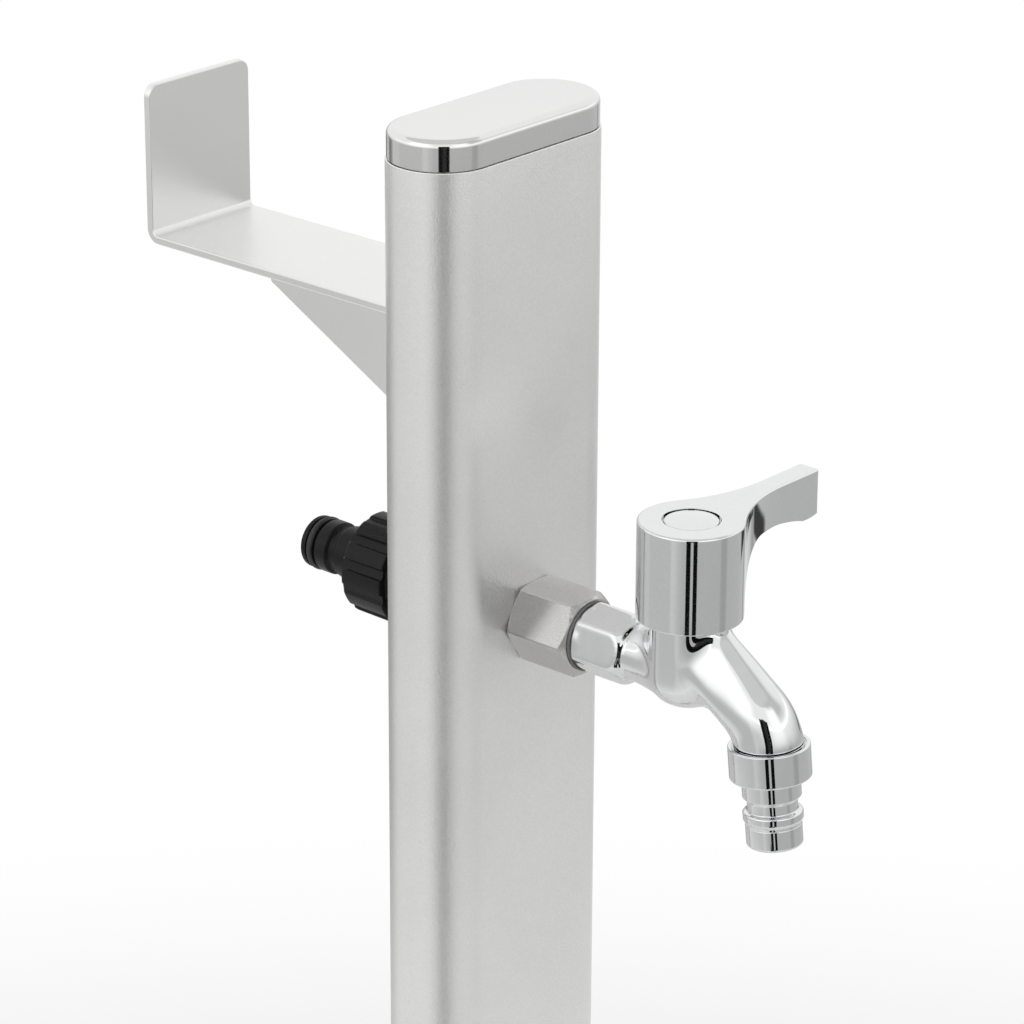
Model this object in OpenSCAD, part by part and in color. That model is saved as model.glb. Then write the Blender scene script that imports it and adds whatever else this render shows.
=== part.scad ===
// Garden standpipe: a flat-oval aluminium column on a foot plate, with a quarter-turn
// tap in front, a push-fit hose inlet behind it and a bent hose holder near the top.
// Millimetres. +Z is up, the tap points to -Y, and the origin is the centre of the
// column's footprint on the underside of the foot plate.

/* [Column] */
// Height of the column tube
column_h = 932; // [600:1:1200]
// Width of the column across its rounded ends
column_w = 80; // [76:1:100]
// Depth of the column between its flat faces
column_d = 34; // [32:1:38]
// Wall of the column tube
column_wall = 2.2; // [1.8:0.1:2.6]
// Outer radius of a screw channel inside the column
port_r = 4.4; // [4:0.1:4.8]
// Screw channel to middle of the column, along the width
port_x = 24; // [21:0.5:26]

/* [Top cap] */
// Height of the cap above the column
cap_h = 9.7; // [7:0.1:14]
// Step from the column's outline in to the cap's
cap_inset = 0.4; // [0.2:0.1:1.2]
// Rounding of the cap's upper edge
cap_edge_r = 2.4; // [0.8:0.1:3]
// Wall of the cap and of its clips
cap_wall = 2; // [1.6:0.1:2.4]
// Depth of the clips below the column's rim
clip_depth = 14; // [8:1:20]

/* [Foot] */
// Foot plate along the column's width
foot_w = 160; // [150:1:200]
// Foot plate along the column's depth
foot_d = 110; // [104:1:160]
// Thickness of the foot plate
foot_t = 8; // [7:0.5:12]
// Radius of the foot plate's corners
foot_corner_r = 12; // [6:1:18]
// Ground bolt holes, centre to centre along the width
bolt_span_x = 130; // [124:1:134]
// Ground bolt holes, centre to centre along the depth
bolt_span_y = 80; // [76:1:84]
// Radius of a ground bolt hole
bolt_hole_r = 4.5; // [3.5:0.25:5.5]
// Height of the locating wall that the foot plate puts inside the column
spigot_h = 12; // [8:1:20]

/* [Hose holder] */
// Top of the holder's shelf below the column's rim
holder_drop = 52.3; // [40:0.1:70]
// Width of the holder
holder_w = 44; // [40:1:46]
// Length of the shelf from the column to the upturned end
holder_reach = 108; // [80:1:140]
// Height of the upturned end above the shelf
holder_rise = 49; // [30:1:70]
// Thickness of the holder's plate and gussets
plate_t = 2.5; // [2:0.1:3]
// Inner radius of the plate's bends
bend_r = 2; // [1.5:0.1:3]
// Radius of the upturned end's top corners
holder_corner_r = 4; // [2:0.5:8]
// Height of the fixing flange against the column
flange_h = 38; // [36:1:44]
// Length of a side gusset along the shelf
gusset_len = 56; // [46:1:70]
// Depth of a side gusset at the column
gusset_drop = 29.5; // [24:0.5:34]
// Blunt end of a side gusset
gusset_nose = 1.6; // [1:0.1:3]
// Rivets, centre to centre along the width
rivet_span_x = 22; // [16:1:24]
// Rivets, centre to centre along the height
rivet_span_z = 13; // [11:1:15]
// Radius of a rivet's shank
rivet_r = 2.4; // [2:0.1:2.6]

/* [Water line] */
// Water axis below the column's rim
tap_drop = 149.5; // [120:0.5:200]
// Outer radius of the pipe thread
thread_r = 10.4; // [9.8:0.1:10.6]
// Radius of the bore through the pipe
pipe_bore_r = 7.5; // [6:0.1:8]
// Hexagon coupling across its flats
coupling_af = 24; // [23.5:0.1:26]
// Length of the hexagon coupling
coupling_len = 22.7; // [20:0.1:28]
// Hexagon coupling turned about the water axis
coupling_turn = 3; // [0:1:59]
// Thread engagement of pipe and tap in the coupling
engage = 10.5; // [8:0.1:11]
// Lock nut behind the column, across its flats
lock_nut_af = 27; // [26:0.5:30]
// Thickness of the lock nut
lock_nut_t = 6; // [5:0.5:8]
// Thickness of the washer behind the column
rear_washer_t = 1.5; // [1:0.1:2]

/* [Hose inlet] */
// Radius over the ribs of the inlet's grip
grip_r = 16.8; // [15.8:0.1:18]
// Length of the ribbed grip
grip_len = 17; // [12:0.5:20]
// Number of grip ribs
grip_ribs = 12; // [10:1:16]
// Depth of the grooves between the ribs
rib_depth = 1.3; // [0.8:0.1:1.6]
// Plain skirt behind the grip
skirt_len = 7.5; // [6:0.5:9]
// Length of the push-fit nose
nose_len = 25.5; // [24:0.5:30]
// Radius of the push-fit noses
nose_r = 8.6; // [8.3:0.1:9]
// Radius of the inlet nose's bore
nose_bore_r = 5; // [4:0.1:5.4]
// Section radius of the nose's sealing ring
oring_r = 1.3; // [1.1:0.05:1.4]
// Thickness of the flat seal in the inlet
inlet_seal_t = 2; // [1.5:0.1:2.5]

/* [Tap body] */
// Hexagon of the tap's tail across its flats
tail_af = 20; // [19:0.1:21]
// Radius that trims the corners of that hexagon
tail_r = 11.3; // [10.9:0.1:12]
// Hexagon of the tail turned about the water axis
tail_turn = 17; // [0:1:59]
// Length of the tail's hexagon
tail_hex_len = 13.7; // [9:0.1:16]
// Rounding behind the tail's hexagon
bulb_r = 7; // [6:0.1:8]
// Radius of the tap's waist
waist_r = 8.9; // [8.4:0.1:9.4]
// Length from the hexagon to the valve body
neck_len = 12.1; // [11:0.1:18]
// Radius of the valve body
valve_r = 12.1; // [11.8:0.1:12.6]
// Top of the valve body above the water axis
valve_top = 17.4; // [17:0.1:20]
// Depth of the valve body below the water axis
valve_bottom = 10.2; // [9.8:0.1:12]
// Rounding under the valve body
valve_round_r = 8.5; // [6:0.1:9]
// Radius of the water way in the tail
way_r = 5.2; // [4:0.1:5.4]
// Radius of the spout
spout_r = 10.2; // [9.2:0.1:10.4]
// Radius of the spout's bend, on its axis
spout_bend_r = 12; // [11.5:0.5:18]
// Valve axis to the middle of the spout's mouth
spout_reach = 31.2; // [29:0.1:36]
// Mouth of the spout below the water axis
spout_drop = 14.5; // [13:0.1:18]
// Lean of the spout's mouth away from the column
spout_lean = 6; // [0:0.5:10]
// Slope of the spout where it leaves the valve body
spout_slope = 38; // [34:1:42]
// Radius of the spout at its mouth
mouth_r = 10.7; // [10.4:0.1:10.9]
// Radius of the spout's bore
spout_bore_r = 5.5; // [4.5:0.1:6]
// Length of the threaded end inside the outlet
outlet_thread = 7; // [5:0.1:8]

/* [Valve] */
// Radius of the valve chamber
chamber_r = 9.8; // [9.6:0.1:10]
// Valve seat above the water axis
seat_z = 8; // [7.4:0.1:8.6]
// Radius of the port in the seat
port_hole_r = 4.2; // [3.4:0.1:4.4]
// Thickness of the rubber seal on the seat
seat_seal_t = 1.6; // [1.2:0.1:2]
// Radius of the ceramic discs
disc_r = 7.1; // [6.8:0.1:7.2]
// Thickness of a ceramic disc
disc_t = 2.4; // [2:0.1:2.6]
// Hexagon of the valve insert across its flats
insert_af = 22; // [21:0.5:23]
// Height of the valve insert's hexagon
insert_hex_h = 5; // [4:0.5:6]
// Height of the valve insert's neck above its hexagon
insert_neck_h = 7; // [6:0.5:8]
// Radius of the spindle
spindle_r = 4; // [3.6:0.1:4.2]
// Side of the spindle's square end
square_side = 5.4; // [4.8:0.1:5.6]
// Height of the spindle's square end
square_h = 7; // [5:0.5:7.5]

/* [Lever] */
// Radius of the lever's barrel
barrel_r = 16.25; // [15.8:0.05:18]
// Height of the lever's barrel
barrel_h = 30.8; // [29:0.1:34]
// Chamfer round the barrel's lower edge
barrel_edge = 0.5; // [0.2:0.1:1.5]
// Wall of the barrel's skirt
barrel_wall = 2.2; // [1.8:0.1:2.4]
// Valve axis to the tip of the lever
lever_len = 58.2; // [50:0.1:70]
// Width of the lever at its tip
lever_w = 7.4; // [6:0.1:9]
// Height of the lever at its tip
tip_h = 15; // [12:0.5:17]
// Height of the lever at its waist
lever_waist_h = 12.3; // [10:0.1:14]
// Radius of the fillets between lever and barrel, seen from above
root_r = 52; // [30:1:70]
// Offset of the lever from the barrel's axis
lever_shift = 1.1; // [0:0.1:2]
// Radius under the lever where it leaves the barrel
under_r = 13; // [9:0.5:15]
// Radius of the index cap
index_r = 8.55; // [7.5:0.05:9.5]
// Crown of the index cap
index_crown = 0.7; // [0.3:0.1:1.2]

/* [Outlet] */
// Radius of the outlet's collar
collar_r = 12.45; // [12.3:0.05:14]
// Length of the outlet's collar
collar_len = 10.3; // [9.2:0.1:11.5]
// Length of the step below the collar
step_len = 6.2; // [3.5:0.1:7]
// Length of the neck that the hose socket's claws grip
groove_len = 3.9; // [2.4:0.1:4.4]
// Radius of that neck
groove_r = 7.65; // [7:0.05:8]
// Radius of the bead below the neck
bead_r = 9.1; // [8.8:0.05:9.4]
// Length of that bead
bead_len = 3.8; // [2.6:0.1:4.6]
// Length of the outlet's nose below the bead
outlet_nose_len = 7.7; // [7:0.1:14]
// Thickness of the washer inside the outlet
outlet_washer_t = 1.5; // [1:0.1:2]

/* [Clearances] */
// Gap between parts that slip into each other
slip = 0.25; // [0.1:0.05:0.4]
// Gap between a thread and its nut
thread_gap = 0.1; // [0.05:0.05:0.2]
// Gap between faces that turn past each other
turn_gap = 0.5; // [0.3:0.1:0.8]
// Radial gap of the turning spindle
spindle_gap = 0.05; // [0.02:0.01:0.1]

/* [Hidden] */
$fn = 96;
eps = 0.01;
cut = 1;

column_top = foot_t + column_h;
end_x = (column_w - column_d) / 2;
inner_r = column_d / 2 - column_wall;
port_y = inner_r - port_r + 0.4;
port_bore_r = 2.15;
screw_r = port_bore_r - 0.05;

tap_z = column_top - tap_drop;
coupling_end = column_d / 2 + coupling_len;
tail_washer_t = 0.8;
shoulder_s = coupling_end + tail_washer_t;
valve_s = shoulder_s + tail_hex_len + neck_len + valve_r;

lever_bottom = valve_top + turn_gap;
lever_top = lever_bottom + barrel_h;
cavity_r = barrel_r - barrel_wall;
insert_top = valve_top + insert_hex_h + insert_neck_h;
square_z = insert_top + 1.6;
square_top = square_z + square_h;
disc_z = seat_z + seat_seal_t;

// Section of the column: two half circles joined by flats, grown or shrunk by d
module oval(d = 0) {
    hull_w = 2 * end_x;
    r = column_d / 2 + d;
    union() {
        translate([-end_x, -r]) square([hull_w, 2 * r]);
        for (side = [-1, 1]) translate([side * end_x, 0]) circle(r);
    }
}

// Solid of that section, from a profile that runs from the middle line outwards
module oval_solid() {
    for (side = [-1, 1]) translate([side * end_x, 0, 0]) rotate_extrude() children();
    for (turn = [0, 180]) rotate([0, 0, turn])
        translate([-end_x, 0, 0]) rotate([90, 0, 90])
            linear_extrude(2 * end_x) children();
}

// Turns a profile about the water axis, its height running away from the column in front
module forward() {
    translate([0, 0, tap_z]) rotate([90, 0, 0]) children();
}

// The same, with its height running away from the column behind
module backward() {
    translate([0, 0, tap_z]) rotate([-90, 0, 0]) children();
}

// Places children on the valve axis, at the height of the water axis
module at_valve() {
    translate([0, -valve_s, tap_z]) children();
}

// Hexagon across its flats, with a corner on +X
module hexagon(af) {
    circle(r = af / sqrt(3), $fn = 6);
}

// Hexagon nut with both ends chamfered down to the flats
module hex_bar(af, len, chamfer = 1.4) {
    corner = af / sqrt(3);
    intersection() {
        linear_extrude(len) hexagon(af);
        rotate_extrude() polygon([[0, 0], [corner - chamfer, 0], [corner, chamfer * 0.6],
            [corner, len - chamfer * 0.6], [corner - chamfer, len], [0, len]]);
    }
}

// Flat ring
module ring(r_out, r_in, t) {
    difference() {
        cylinder(r = r_out, h = t);
        translate([0, 0, -cut]) cylinder(r = r_in, h = t + 2 * cut);
    }
}

// Round ring of rubber about +Z
module o_ring(r_mid, r_section) {
    rotate_extrude() translate([r_mid, 0]) circle(r_section);
}

// Clips or walls that reach down inside the column between its screw channels
module inner_wall(h, gap) {
    side_w = 2 * (port_x - port_r) - 2 * cut;
    end_from = port_x + port_r + cut;
    difference() {
        linear_extrude(h) oval(-column_wall - gap);
        translate([0, 0, -cut]) linear_extrude(h + 2 * cut) oval(-column_wall - gap - cap_wall);
        for (side = [-1, 1])
            translate([side * (side_w / 2 + (end_from - side_w / 2) / 2), 0, h / 2])
                cube([end_from - side_w / 2, column_d, h + 2 * cut], center = true);
    }
}

// Column: extruded tube with four screw channels, drilled for pipe and rivets
module column() color([0.78, 0.79, 0.80]) {
    difference() {
        translate([0, 0, foot_t]) linear_extrude(column_h) {
            difference() {
                oval();
                oval(-column_wall);
            }
            for (x = [-1, 1], y = [-1, 1]) translate([x * port_x, y * port_y])
                difference() {
                    circle(port_r);
                    circle(port_bore_r);
                    translate([-1, y > 0 ? -port_r - 1 : 0]) square([2, port_r + 1]);
                }
        }
        translate([0, 0, tap_z]) rotate([90, 0, 0])
            cylinder(r = thread_r + slip, h = column_d + 2, center = true);
        rivet_places() translate([0, 0, -column_wall - port_r])
            cylinder(r = rivet_r + 0.1, h = column_wall + port_r + 2);
    }
}

// Top cap: shallow lid with a rounded edge and clips inside the tube
module top_cap() color([0.80, 0.81, 0.83]) {
    lid_r = column_d / 2 - cap_inset;
    translate([0, 0, column_top]) {
        difference() {
            oval_solid() union() {
                square([lid_r, cap_h - cap_edge_r]);
                square([lid_r - cap_edge_r, cap_h]);
                translate([lid_r - cap_edge_r, cap_h - cap_edge_r])
                    intersection() {
                        circle(cap_edge_r);
                        square(cap_edge_r);
                    }
            }
            translate([0, 0, -cut]) linear_extrude(cap_h - cap_wall + cut)
                oval(-column_wall - slip - cap_wall);
        }
        translate([0, 0, -clip_depth]) inner_wall(clip_depth + eps, slip);
    }
}

// Foot plate: rounded plate with ground bolt holes, screw holes and a locating wall
module foot_plate() color([0.62, 0.63, 0.65]) {
    edge = 1.2;
    x0 = foot_w / 2 - foot_corner_r;
    y0 = foot_d / 2 - foot_corner_r;
    difference() {
        union() {
            translate([0, 0, foot_t / 2]) cube([foot_w, 2 * y0, foot_t], center = true);
            translate([0, 0, foot_t / 2]) cube([2 * x0, foot_d, foot_t], center = true);
            for (x = [-x0, x0], y = [-y0, y0]) translate([x, y, 0])
                cylinder(r = foot_corner_r, h = foot_t);
            translate([0, 0, foot_t - eps]) inner_wall(spigot_h + eps, slip);
        }
        for (x = [-1, 1], y = [-1, 1]) {
            translate([x * bolt_span_x / 2, y * bolt_span_y / 2, -cut])
                cylinder(r = bolt_hole_r, h = foot_t + 2 * cut);
            translate([x * bolt_span_x / 2, y * bolt_span_y / 2, foot_t - edge])
                cylinder(r1 = bolt_hole_r, r2 = bolt_hole_r + edge + cut, h = edge + cut);
            translate([x * port_x, y * port_y, 0]) {
                translate([0, 0, -cut]) cylinder(r = screw_r + 0.4, h = foot_t + 2 * cut);
                translate([0, 0, -eps]) cylinder(r1 = 5, r2 = screw_r + 0.4, h = 3);
            }
        }
    }
}

// Foot screws: countersunk, from under the plate into the column's channels
module foot_screws() color([0.72, 0.72, 0.70]) {
    for (x = [-1, 1], y = [-1, 1]) translate([x * port_x, y * port_y, 0.3])
        difference() {
            union() {
                cylinder(r1 = 4.5, r2 = screw_r, h = 2.5);
                cylinder(r = screw_r, h = foot_t + 16);
            }
            translate([0, 0, -eps]) cylinder(r = 1.7, h = 1.8, $fn = 6);
        }
}

// Places children at the holder's rivets, +Z pointing out of the column's back
module rivet_places() {
    mid_z = column_top - holder_drop - plate_t - flange_h / 2 - 1.5;
    for (x = [-1, 1], z = [-1, 1])
        translate([x * rivet_span_x / 2, column_d / 2, mid_z + z * rivet_span_z / 2])
            rotate([-90, 0, 0]) children();
}

// Outline of the bent plate seen from the side: flange, shelf and upturned end
module holder_profile() {
    y1 = holder_reach + plate_t;
    outer = bend_r + plate_t;
    difference() {
        union() {
            translate([0, -plate_t]) square([y1, plate_t]);
            translate([0, -plate_t - flange_h]) square([plate_t, flange_h + plate_t]);
            translate([holder_reach, -plate_t]) square([plate_t, holder_rise + plate_t]);
            translate([holder_reach - bend_r, 0]) square(bend_r);
            translate([plate_t, -plate_t - bend_r]) square(bend_r);
        }
        difference() {
            translate([y1 - outer, -plate_t]) square(outer + eps);
            translate([y1 - outer, -plate_t + outer]) circle(outer);
            translate([holder_reach - bend_r, eps]) square([bend_r, bend_r]);
        }
        translate([holder_reach - bend_r, bend_r]) circle(bend_r);
        difference() {
            translate([-eps, -outer]) square(outer + eps);
            translate([outer, -outer]) circle(outer);
        }
        translate([outer, -outer]) circle(bend_r);
    }
}

// Holder plate: flange, shelf and upturned end bent from one strip
module holder_plate() color([0.86, 0.86, 0.87]) {
    difference() {
        translate([-holder_w / 2, column_d / 2, column_top - holder_drop])
            rotate([90, 0, 90]) linear_extrude(holder_w) holder_profile();
        for (side = [-1, 1])
            translate([side * (holder_w / 2 - holder_corner_r),
                column_d / 2 + holder_reach - cut,
                column_top - holder_drop + holder_rise - holder_corner_r])
                rotate([-90, 0, 0]) difference() {
                    translate([side > 0 ? 0 : -holder_corner_r - cut, -holder_corner_r - cut, 0])
                        cube([holder_corner_r + cut, holder_corner_r + cut, plate_t + 2 * cut]);
                    translate([0, 0, -cut])
                        cylinder(r = holder_corner_r, h = plate_t + 4 * cut);
                }
        rivet_places() translate([0, 0, -cut])
            cylinder(r = rivet_r + 0.1, h = plate_t + 2 * cut);
    }
}

// One triangular gusset under the shelf, welded flush with the plate's side
module gusset() {
    y0 = plate_t;
    rotate([90, 0, 90]) linear_extrude(plate_t) difference() {
        polygon([[y0, -plate_t], [gusset_len, -plate_t], [gusset_len, -plate_t - gusset_nose],
            [y0, -plate_t - gusset_drop]]);
        translate([y0 - cut, -plate_t - bend_r - cut]) square([bend_r + cut, bend_r + 2 * cut]);
    }
}

module gusset_left() color([0.84, 0.84, 0.85])
    translate([-holder_w / 2, column_d / 2, column_top - holder_drop]) gusset();

module gusset_right() color([0.84, 0.84, 0.85])
    translate([holder_w / 2 - plate_t, column_d / 2, column_top - holder_drop]) gusset();

// Blind rivets through the flange and the column's back wall
module holder_rivets() color([0.75, 0.75, 0.76]) {
    head_r = 2 * rivet_r;
    head_h = 1.6;
    rivet_places() difference() {
        union() {
            translate([0, 0, -column_wall - 3])
                cylinder(r = rivet_r, h = column_wall + 3 + plate_t + 0.5);
            translate([0, 0, -column_wall - 3]) cylinder(r = rivet_r + 1, h = 2.95);
            translate([0, 0, plate_t + 0.05]) intersection() {
                cylinder(r = head_r, h = head_h);
                translate([0, 0, head_h - head_r * 1.6]) sphere(head_r * 1.6);
            }
        }
        translate([0, 0, plate_t + 0.5]) cylinder(r = rivet_r * 0.45, h = head_h);
    }
}

// Through pipe: threaded brass pipe that carries the water across the column
module through_pipe() color([0.76, 0.62, 0.34]) {
    front = column_d / 2 + engage;
    back = column_d / 2 + rear_washer_t + lock_nut_t + skirt_len + 11;
    translate([0, -front, tap_z]) rotate([-90, 0, 0]) rotate_extrude()
        polygon([[pipe_bore_r, 0], [thread_r - 0.8, 0], [thread_r, 0.8],
            [thread_r, front + back - 0.8], [thread_r - 0.8, front + back],
            [pipe_bore_r, front + back]]);
}

// Hexagon coupling between the pipe and the tap, against the column's front
module hex_coupling() color([0.74, 0.72, 0.68]) {
    corner = coupling_af / sqrt(3);
    bore = thread_r + thread_gap;
    forward() translate([0, 0, column_d / 2]) rotate([0, 0, coupling_turn]) difference() {
        intersection() {
            linear_extrude(coupling_len) hexagon(coupling_af);
            rotate_extrude() polygon([[0, 0], [coupling_af / 2, 0], [corner, 1],
                [corner, coupling_len - 1.6], [tail_r + 0.2, coupling_len], [0, coupling_len]]);
        }
        translate([0, 0, -cut]) cylinder(r = bore, h = coupling_len + 2 * cut);
    }
}

module rear_washer() color([0.70, 0.70, 0.70])
    backward() translate([0, 0, column_d / 2]) ring(lock_nut_af / 2 + 1.5, thread_r + slip, rear_washer_t);

// Lock nut that clamps the pipe to the column from behind
module lock_nut() color([0.74, 0.62, 0.36])
    backward() translate([0, 0, column_d / 2 + rear_washer_t]) difference() {
        hex_bar(lock_nut_af, lock_nut_t);
        translate([0, 0, -cut]) cylinder(r = thread_r + thread_gap, h = lock_nut_t + 2 * cut);
    }

// Where the inlet's skirt, grip and nose start, measured from the column's middle
skirt_s = column_d / 2 + rear_washer_t + lock_nut_t + 1;
grip_s = skirt_s + skirt_len;
nose_s = grip_s + grip_len;
tip_s = nose_s + nose_len;
oring_s = tip_s - 3.75;
socket_s = skirt_s + skirt_len + 10;

// Inlet adaptor: moulded skirt with grip ribs and a push-fit nose
module inlet_adaptor() color([0.05, 0.05, 0.05]) {
    groove_half = 1.45;
    groove_floor = nose_r - 2 * oring_r + 0.1;
    lock_s = tip_s - 14;
    rib_core = grip_r - rib_depth;
    gap_angle = 360 / grip_ribs;
    backward() difference() {
        union() {
            translate([0, 0, skirt_s]) cylinder(r = rib_core - 1, h = skirt_len + cut);
            translate([0, 0, grip_s]) difference() {
                rotate_extrude() polygon([[0, 0], [grip_r - 0.5, 0], [grip_r, 0.5],
                    [grip_r - 0.3, grip_len - 1], [grip_r - 1.3, grip_len], [0, grip_len]]);
                for (i = [0 : grip_ribs - 1]) rotate([0, 0, (i + 0.5) * gap_angle])
                    translate([rib_core, 0, -cut]) linear_extrude(grip_len + 2 * cut)
                        polygon([[0, -0.7], [grip_r, -grip_r * 0.25], [grip_r, grip_r * 0.25], [0, 0.7]]);
            }
            rotate_extrude() polygon([[0, nose_s - cut], [nose_r + 0.3, nose_s - cut],
                [nose_r + 0.3, nose_s + 4], [nose_r, nose_s + 4.6], [nose_r, lock_s - 0.6],
                [nose_r - 1.4, lock_s], [nose_r - 1.4, lock_s + 2.6], [nose_r, lock_s + 3.3],
                [nose_r, oring_s - groove_half], [groove_floor, oring_s - groove_half],
                [groove_floor, oring_s + groove_half], [nose_r, oring_s + groove_half],
                [nose_r, tip_s - 1], [nose_r - 1, tip_s], [0, tip_s]]);
        }
        translate([0, 0, skirt_s - cut])
            cylinder(r = thread_r + thread_gap, h = socket_s - skirt_s + inlet_seal_t + cut);
        translate([0, 0, skirt_s]) cylinder(r = nose_bore_r, h = tip_s - skirt_s + cut);
    }
}

module inlet_oring() color([0.03, 0.03, 0.03])
    backward() translate([0, 0, oring_s]) o_ring(nose_r - oring_r + 0.2, oring_r);

module inlet_seal() color([0.10, 0.10, 0.10])
    backward() translate([0, 0, socket_s]) ring(thread_r - 0.2, nose_bore_r + 1, inlet_seal_t - 0.1);

module tail_washer() color([0.20, 0.19, 0.18])
    forward() translate([0, 0, coupling_end]) ring(tail_r - 0.3, thread_r + thread_gap, tail_washer_t);

// Middle of the spout's mouth and of its bend, across and up from the valve axis
bend_turn = 90 - spout_lean - spout_slope;
bend_y = spout_reach - spout_bend_r * cos(spout_lean);
bend_z = -spout_drop - spout_bend_r * sin(spout_lean);
rise_y = bend_y - spout_bend_r * cos(180 - spout_lean - bend_turn);
rise_z = bend_z + spout_bend_r * sin(180 - spout_lean - bend_turn);
rise_len = (rise_y - 4) / cos(spout_slope);

// Bend of the spout, from its mouth up to the sloping part, with section radius r
module spout_bend(r) {
    translate([0, -bend_y, bend_z]) rotate([90, 0, -90]) rotate([0, 0, spout_lean])
        rotate_extrude(angle = bend_turn) translate([spout_bend_r, 0]) circle(r);
}

// Sloping part of the spout, from just inside the bend back into the valve body
module spout_rise(r, len) {
    translate([0, -rise_y, rise_z]) rotate([spout_slope - 90, 0, 0])
        translate([0, 0, -0.4]) cylinder(r = r - 0.05, h = len + 0.4);
}

// Turns +Z to run down the axis of the spout's mouth
module at_mouth() {
    at_valve() translate([0, -spout_reach, -spout_drop]) rotate([180 - spout_lean, 0, 0]) children();
}

// Tail of the tap: thread, hexagon, rounded bulb and waist
module tap_tail() {
    waist_round = 5;
    waist_s = tail_hex_len + neck_len - 6.2;
    forward() {
        translate([0, 0, shoulder_s]) intersection() {
            linear_extrude(tail_hex_len + neck_len) rotate([0, 0, tail_turn]) hexagon(tail_af);
            rotate_extrude() difference() {
                union() {
                    polygon([[0, 0], [tail_r - 1, 0], [tail_r, 1], [tail_r, tail_hex_len],
                        [0, tail_hex_len]]);
                    intersection() {
                        translate([tail_r - bulb_r, tail_hex_len]) circle(bulb_r);
                        square([tail_r, tail_hex_len + bulb_r]);
                    }
                    square([waist_r + 0.9, tail_hex_len + neck_len]);
                }
                translate([waist_r + waist_round, waist_s]) circle(waist_round);
            }
        }
        translate([0, 0, shoulder_s - engage]) cylinder(r = thread_r, h = engage + 1);
        translate([0, 0, shoulder_s + tail_hex_len + neck_len - 1])
            cylinder(r = waist_r + 0.9, h = valve_r + 1);
    }
}

// Tap body: tail, valve body and spout cast in one piece, with its water ways
module tap_body() color([0.82, 0.83, 0.85]) {
    difference() {
        union() {
            tap_tail();
            at_valve() {
                rotate_extrude() {
                    translate([0, valve_round_r - valve_bottom])
                        square([valve_r, valve_top + valve_bottom - valve_round_r]);
                    translate([0, -valve_bottom]) square([valve_r - valve_round_r, valve_round_r + 1]);
                    intersection() {
                        translate([valve_r - valve_round_r, valve_round_r - valve_bottom])
                            circle(valve_round_r);
                        translate([0, -valve_bottom]) square([valve_r, valve_round_r]);
                    }
                }
                spout_rise(spout_r, rise_len);
                spout_bend(spout_r);
            }
            at_mouth() {
                translate([0, 0, -5]) cylinder(r1 = spout_r - 0.2, r2 = mouth_r, h = 5);
                cylinder(r = mouth_r, h = 0.6);
                translate([0, 0, -cut]) cylinder(r = thread_r, h = outlet_thread + cut);
            }
        }
        forward() translate([0, 0, shoulder_s - engage - cut])
            cylinder(r = way_r, h = valve_s - shoulder_s + engage + port_hole_r - 0.2);
        at_valve() {
            cylinder(r = port_hole_r, h = seat_z + 1);
            translate([0, 0, seat_z]) cylinder(r = chamber_r, h = valve_top);
            translate([0, 0, valve_top]) cylinder(r = 3 * valve_r, h = 2 * valve_top);
            translate([0, 0, seat_z + 3]) rotate([90 + spout_slope, 0, 0]) cylinder(r = 2.8, h = 16);
            spout_rise(spout_bore_r, (rise_y - 13) / cos(spout_slope));
            spout_bend(spout_bore_r);
        }
        at_mouth() translate([0, 0, -0.4]) cylinder(r = spout_bore_r - 0.05, h = outlet_thread + cut);
    }
}

module seat_seal() color([0.12, 0.12, 0.12])
    at_valve() translate([0, 0, seat_z]) ring(disc_r, port_hole_r + 0.2, seat_seal_t);

// Window of a ceramic disc: two opposite sectors
module disc_windows(h) {
    for (turn = [0, 180]) rotate([0, 0, turn]) linear_extrude(h)
        intersection() {
            difference() {
                circle(disc_r - 1.9);
                circle(1.4);
            }
            polygon([[0, 0], [disc_r, -disc_r * 0.85], [disc_r, disc_r * 0.85]]);
        }
}

module fixed_disc() color([0.90, 0.90, 0.88])
    at_valve() translate([0, 0, disc_z]) difference() {
        cylinder(r = disc_r, h = disc_t);
        translate([0, 0, -cut]) disc_windows(disc_t + 2 * cut);
    }

module moving_disc() color([0.93, 0.93, 0.91])
    at_valve() translate([0, 0, disc_z + disc_t + spindle_gap]) difference() {
        cylinder(r = disc_r, h = disc_t);
        translate([0, 0, -cut]) disc_windows(disc_t - 0.8 + cut);
    }

// Space of the spindle's driving flange above the discs
flange_z = disc_z + 2 * disc_t + 2 * spindle_gap;
spindle_flange_t = 2;

// Valve insert: brass body that holds the discs and guides the spindle
module valve_insert() color([0.77, 0.64, 0.36]) {
    window_z = disc_z + disc_t - 0.4;
    lower_r = chamber_r - 1.2;
    thread_z = window_z + disc_t + 0.4;
    at_valve() difference() {
        union() {
            translate([0, 0, disc_z - 0.8]) cylinder(r = lower_r, h = valve_top - disc_z + 1);
            translate([0, 0, thread_z])
                cylinder(r = chamber_r - thread_gap, h = valve_top - thread_z + cut);
            translate([0, 0, valve_top + 0.02]) hex_bar(insert_af, insert_hex_h, 1);
            translate([0, 0, valve_top + insert_hex_h - cut])
                cylinder(r = spindle_r + 2.6, h = insert_neck_h + cut);
        }
        translate([0, 0, disc_z - 2])
            cylinder(r = disc_r + 0.3, h = flange_z + spindle_flange_t + 0.3 - disc_z + 2);
        cylinder(r = spindle_r + spindle_gap, h = insert_top + cut);
        translate([0, 0, window_z]) for (turn = [0, 90]) rotate([0, 0, turn])
            translate([-chamber_r, -2.6, 0]) cube([2 * chamber_r, 5.2, disc_t]);
    }
}

module insert_seal() color([0.08, 0.08, 0.08])
    at_valve() translate([0, 0, valve_top - 0.9])
        ring(chamber_r - 0.05, chamber_r - thread_gap + 0.01, 0.8);

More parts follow.
